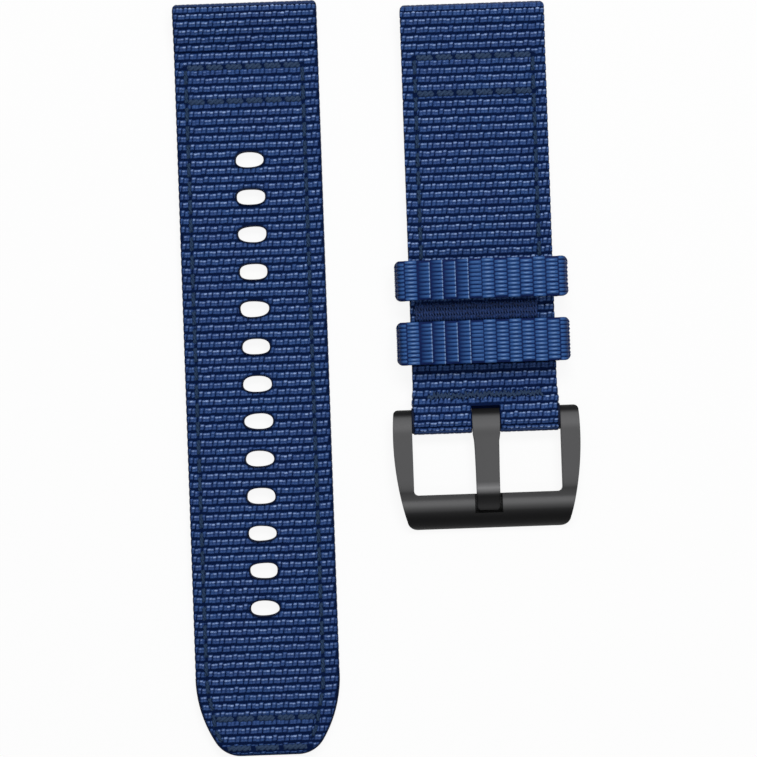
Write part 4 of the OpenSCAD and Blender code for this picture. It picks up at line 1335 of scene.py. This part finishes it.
def tongue_mesh(style):
    """The tongue: its side view drawn across, with rounded edges and a slight taper towards the tip."""
    # Places along Y from the bar: where the upper face comes down from the eye, where the shaft widens to the
    # eye, where its taper ends and starts, and where the edges grow sharper
    settle, shoulder, taper, sharper = -2.6 * MM, (-2.9 * MM, -2.1 * MM), (-9 * MM, -2 * MM), -1.5 * MM
    x0, bar_y, bar_z = bar_axis()
    low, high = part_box("buckle_tongue")
    eye_r, eye_half = high.y - bar_y, (high.x - low.x) / 2
    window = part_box("buckle_frame")[0].y - bar_y + style.front_bar
    top, bottom = style.tongue_top, style.tongue_top - style.tongue_thickness
    bend = np.array((window, top - style.tongue_bend))
    turn = math.pi / 2 + style.tip_bend
    small, nib, short = style.tongue_bend - style.tongue_thickness, style.tongue_edge, 0.4 * MM
    eye = arc((0, 0), eye_r, math.pi / 2, -math.pi - math.asin(bottom / eye_r), 32)
    below = [(y, bottom) for y in np.linspace(eye[-1][0] - short, window + short, 8)]
    sine, cosine = math.sin(style.tip_bend), math.cos(style.tip_bend)
    down, across = np.array([-cosine, -sine]), np.array([-sine, cosine])
    straight = (style.tip_reach - style.tongue_bend * sine) / cosine - nib

    def slope(r):
        return [bend + r * across + d * down for d in np.linspace(0, straight, 7)[1:-1]]

    tip = []
    for r, start in ((small + nib, turn + math.pi), (style.tongue_bend - nib, turn + math.pi / 2)):
        tip += arc(bend + r * across + straight * down, nib, start, start - math.pi / 2, 5)
    under = [*arc(bend, small, math.pi / 2, turn, 6), *slope(small)]
    over = [*slope(style.tongue_bend)[::-1], *arc(bend, style.tongue_bend, turn, math.pi / 2, 8)]
    above = [
        (y, top + (eye_r - top) * ease(settle, 0, y)) for y in np.linspace(window + short, -0.3 * MM, 24)
    ]
    outline = np.array([*eye, *below, *under, *tip, *over, *above])
    ahead = np.roll(outline, -1, axis=0) - np.roll(outline, 1, axis=0)
    inward = np.column_stack([ahead[:, 1], -ahead[:, 0]]) / np.linalg.norm(ahead, axis=1)[:, None]
    y = outline[:, 0]
    shaft = style.tongue_width / 2 + np.interp(y, taper, [0, 0.12 * MM])
    width = shaft + (eye_half - shaft) * ease(*shoulder, y)
    round_r = 0.6 * MM
    width -= round_r - circle(round_r, np.clip(y.min() + round_r - y, 0, round_r))
    r, rings = style.tongue_edge * (1 - 0.7 * ease(sharper, 0, y)), []
    quarter = np.linspace(0, math.pi / 2, 5)
    for side, angles in ((-1, quarter[::-1]), (1, quarter)):
        for a in angles:
            flat = outline + (r * (1 - math.cos(a)))[:, None] * inward
            rings.append(np.column_stack([side * (width - r + r * math.sin(a)), flat]))
    points = np.array(rings).reshape(-1, 3)
    n, total = len(outline), len(points)
    faces = [*quads(len(rings), n, ring=True), range(n), range(total - n, total)[::-1]]
    y, z = points[:, 1:].T
    over = z > np.interp(y, [window - style.tip_reach, window, 0], [-0.6 * MM, bottom + short, 0])
    # Painted light and shade on the tongue's upper faces, painted shade on the rest
    tone = np.where(over, painted_light_tone(eye_r - y, y - window, TIP_PAINTED_LIGHT), PAINTED_SHADE_BELOW)
    return points + [x0, bar_y, bar_z], faces, tone


# Place and size in metres of each lamp, which is named for the setting with its power
LAMPS = {
    "key": ((0.06, 0.36, 0.66), (0.4, 0.2)),
    "top": ((0.17, 0.05, 0.8), (0.04, 0.5)),
    "strip": ((0.0, -0.3, 0.8), (0.6, 0.06)),
}
# Half width of the floor in metres, and its height just under the lowest thread
FLOOR_REACH, FLOOR_Z = 3.0, -0.07 * MM
SENSOR = 36


class BAND_OT_stage(bpy.types.Operator):
    """Set the white ground, the studio lights and the camera overhead"""

    bl_idname = "band.stage"
    bl_label = "Stage"

    def execute(self, context):
        scene = context.scene
        style = scene.band_stage
        mesh = bpy.data.meshes.new("white_ground")
        square = (-1, -1), (1, -1), (1, 1), (-1, 1)
        corners = [(x * FLOOR_REACH, y * FLOOR_REACH, FLOOR_Z) for x, y in square]
        mesh.from_pydata(corners, [], [(0, 1, 2, 3)])
        mesh.materials.append(white_paper(style.paper))
        ground = bpy.data.objects.new("white_ground", mesh)
        scene.collection.objects.link(ground)
        world = bpy.data.worlds.new("studio")
        scene.world = world
        world.use_nodes = True
        tree = world.node_tree
        tree.nodes.clear()
        level = ramp(tree, seen_directly(tree), To_Min=style.world, To_Max=1.0)
        back = add_node(tree, "ShaderNodeBackground", Color=linear("#ffffff"), Strength=level)
        add_node(tree, "ShaderNodeOutputWorld", Surface=back.outputs["Background"])
        for name, (place, size) in LAMPS.items():
            lamp(name, place, size, getattr(style, name))
        data = bpy.data.cameras.new("overhead")
        data.sensor_width = SENSOR
        data.lens = SENSOR * style.distance / style.field
        data.clip_start, data.clip_end = 0.01, 20
        camera = bpy.data.objects.new("overhead", data)
        camera.location = (style.aim_x, style.aim_y, style.distance)
        camera.rotation_euler = (0, 0, style.roll)
        scene.collection.objects.link(camera)
        scene.camera = camera
        scene.view_settings.view_transform = "Standard"
        return {"FINISHED"}


def seen_directly(tree):
    """1 for what is seen, itself, in a reflection or through a clear piece, and 0 for spread light."""
    rays = add_node(tree, "ShaderNodeLightPath").outputs
    seen = rays["Is Camera Ray"]
    for kind in ("Is Glossy Ray", "Is Transmission Ray"):
        seen = add_math(tree, "MAXIMUM", seen, rays[kind])
    return seen


def white_paper(share_even):
    """Coated paper: it is seen mostly as even white, and keeps a faint shadow of the band."""
    paper = bpy.context.scene.band_finish.paper
    made, tree, shader = new_material("paper, coated white", Base_Color=paper, Roughness=0.9)
    out = next(n for n in tree.nodes if n.type == "OUTPUT_MATERIAL")
    glow = add_node(tree, "ShaderNodeEmission", Strength=1.0)
    mixed = add_node(tree, "ShaderNodeMixShader", Fac=ramp(tree, seen_directly(tree), To_Max=share_even))
    feed(tree, mixed.inputs[1], shader.outputs["BSDF"])
    feed(tree, mixed.inputs[2], glow.outputs["Emission"])
    feed(tree, out.inputs["Surface"], mixed.outputs["Shader"])
    return made


def lamp(name, place, size, watts):
    """An area light that faces the band."""
    data = bpy.data.lights.new(name, "AREA")
    data.shape, data.size, data.size_y, data.energy = "RECTANGLE", *size, watts
    light = bpy.data.objects.new(name, data)
    light.location = place
    light.rotation_euler = (-Vector(place)).to_track_quat("-Z", "Y").to_euler()
    bpy.context.scene.collection.objects.link(light)


STEPS = ("tail_strap", "buckle_strap", "keepers", "buckle", "stage")


class BAND_PT_panel(bpy.types.Panel):
    """The band's operators and settings, in the sidebar"""

    bl_idname = "BAND_PT_panel"
    bl_label = "Woven wrist band"
    bl_space_type = "VIEW_3D"
    bl_region_type = "UI"
    bl_category = "Band"

    def draw(self, context):
        for step in STEPS:
            self.layout.operator("band." + step)
        for name in SETTINGS:
            box = self.layout.box()
            group = getattr(context.scene, name)
            for key in group.bl_rna.properties.keys():
                if key not in ("rna_type", "name"):
                    box.prop(group, key)


SETTINGS = {
    "band_weave": WeaveSettings,
    "band_thread": ThreadSettings,
    "band_keepers": KeeperSettings,
    "band_buckle": BuckleSettings,
    "band_finish": FinishSettings,
    "band_stage": StageSettings,
}
OPERATORS = (BAND_OT_tail_strap, BAND_OT_buckle_strap, BAND_OT_keepers, BAND_OT_buckle, BAND_OT_stage)


def register():
    for cls in (*SETTINGS.values(), *OPERATORS, BAND_PT_panel):
        bpy.utils.register_class(cls)
    for name, cls in SETTINGS.items():
        setattr(bpy.types.Scene, name, bpy.props.PointerProperty(type=cls))


def unregister():
    for name in SETTINGS:
        delattr(bpy.types.Scene, name)
    for cls in (BAND_PT_panel, *OPERATORS, *SETTINGS.values()):
        bpy.utils.unregister_class(cls)


def main():
    register()
    for step in STEPS:
        getattr(bpy.ops.band, step)()


if __name__ == "__main__":
    main()
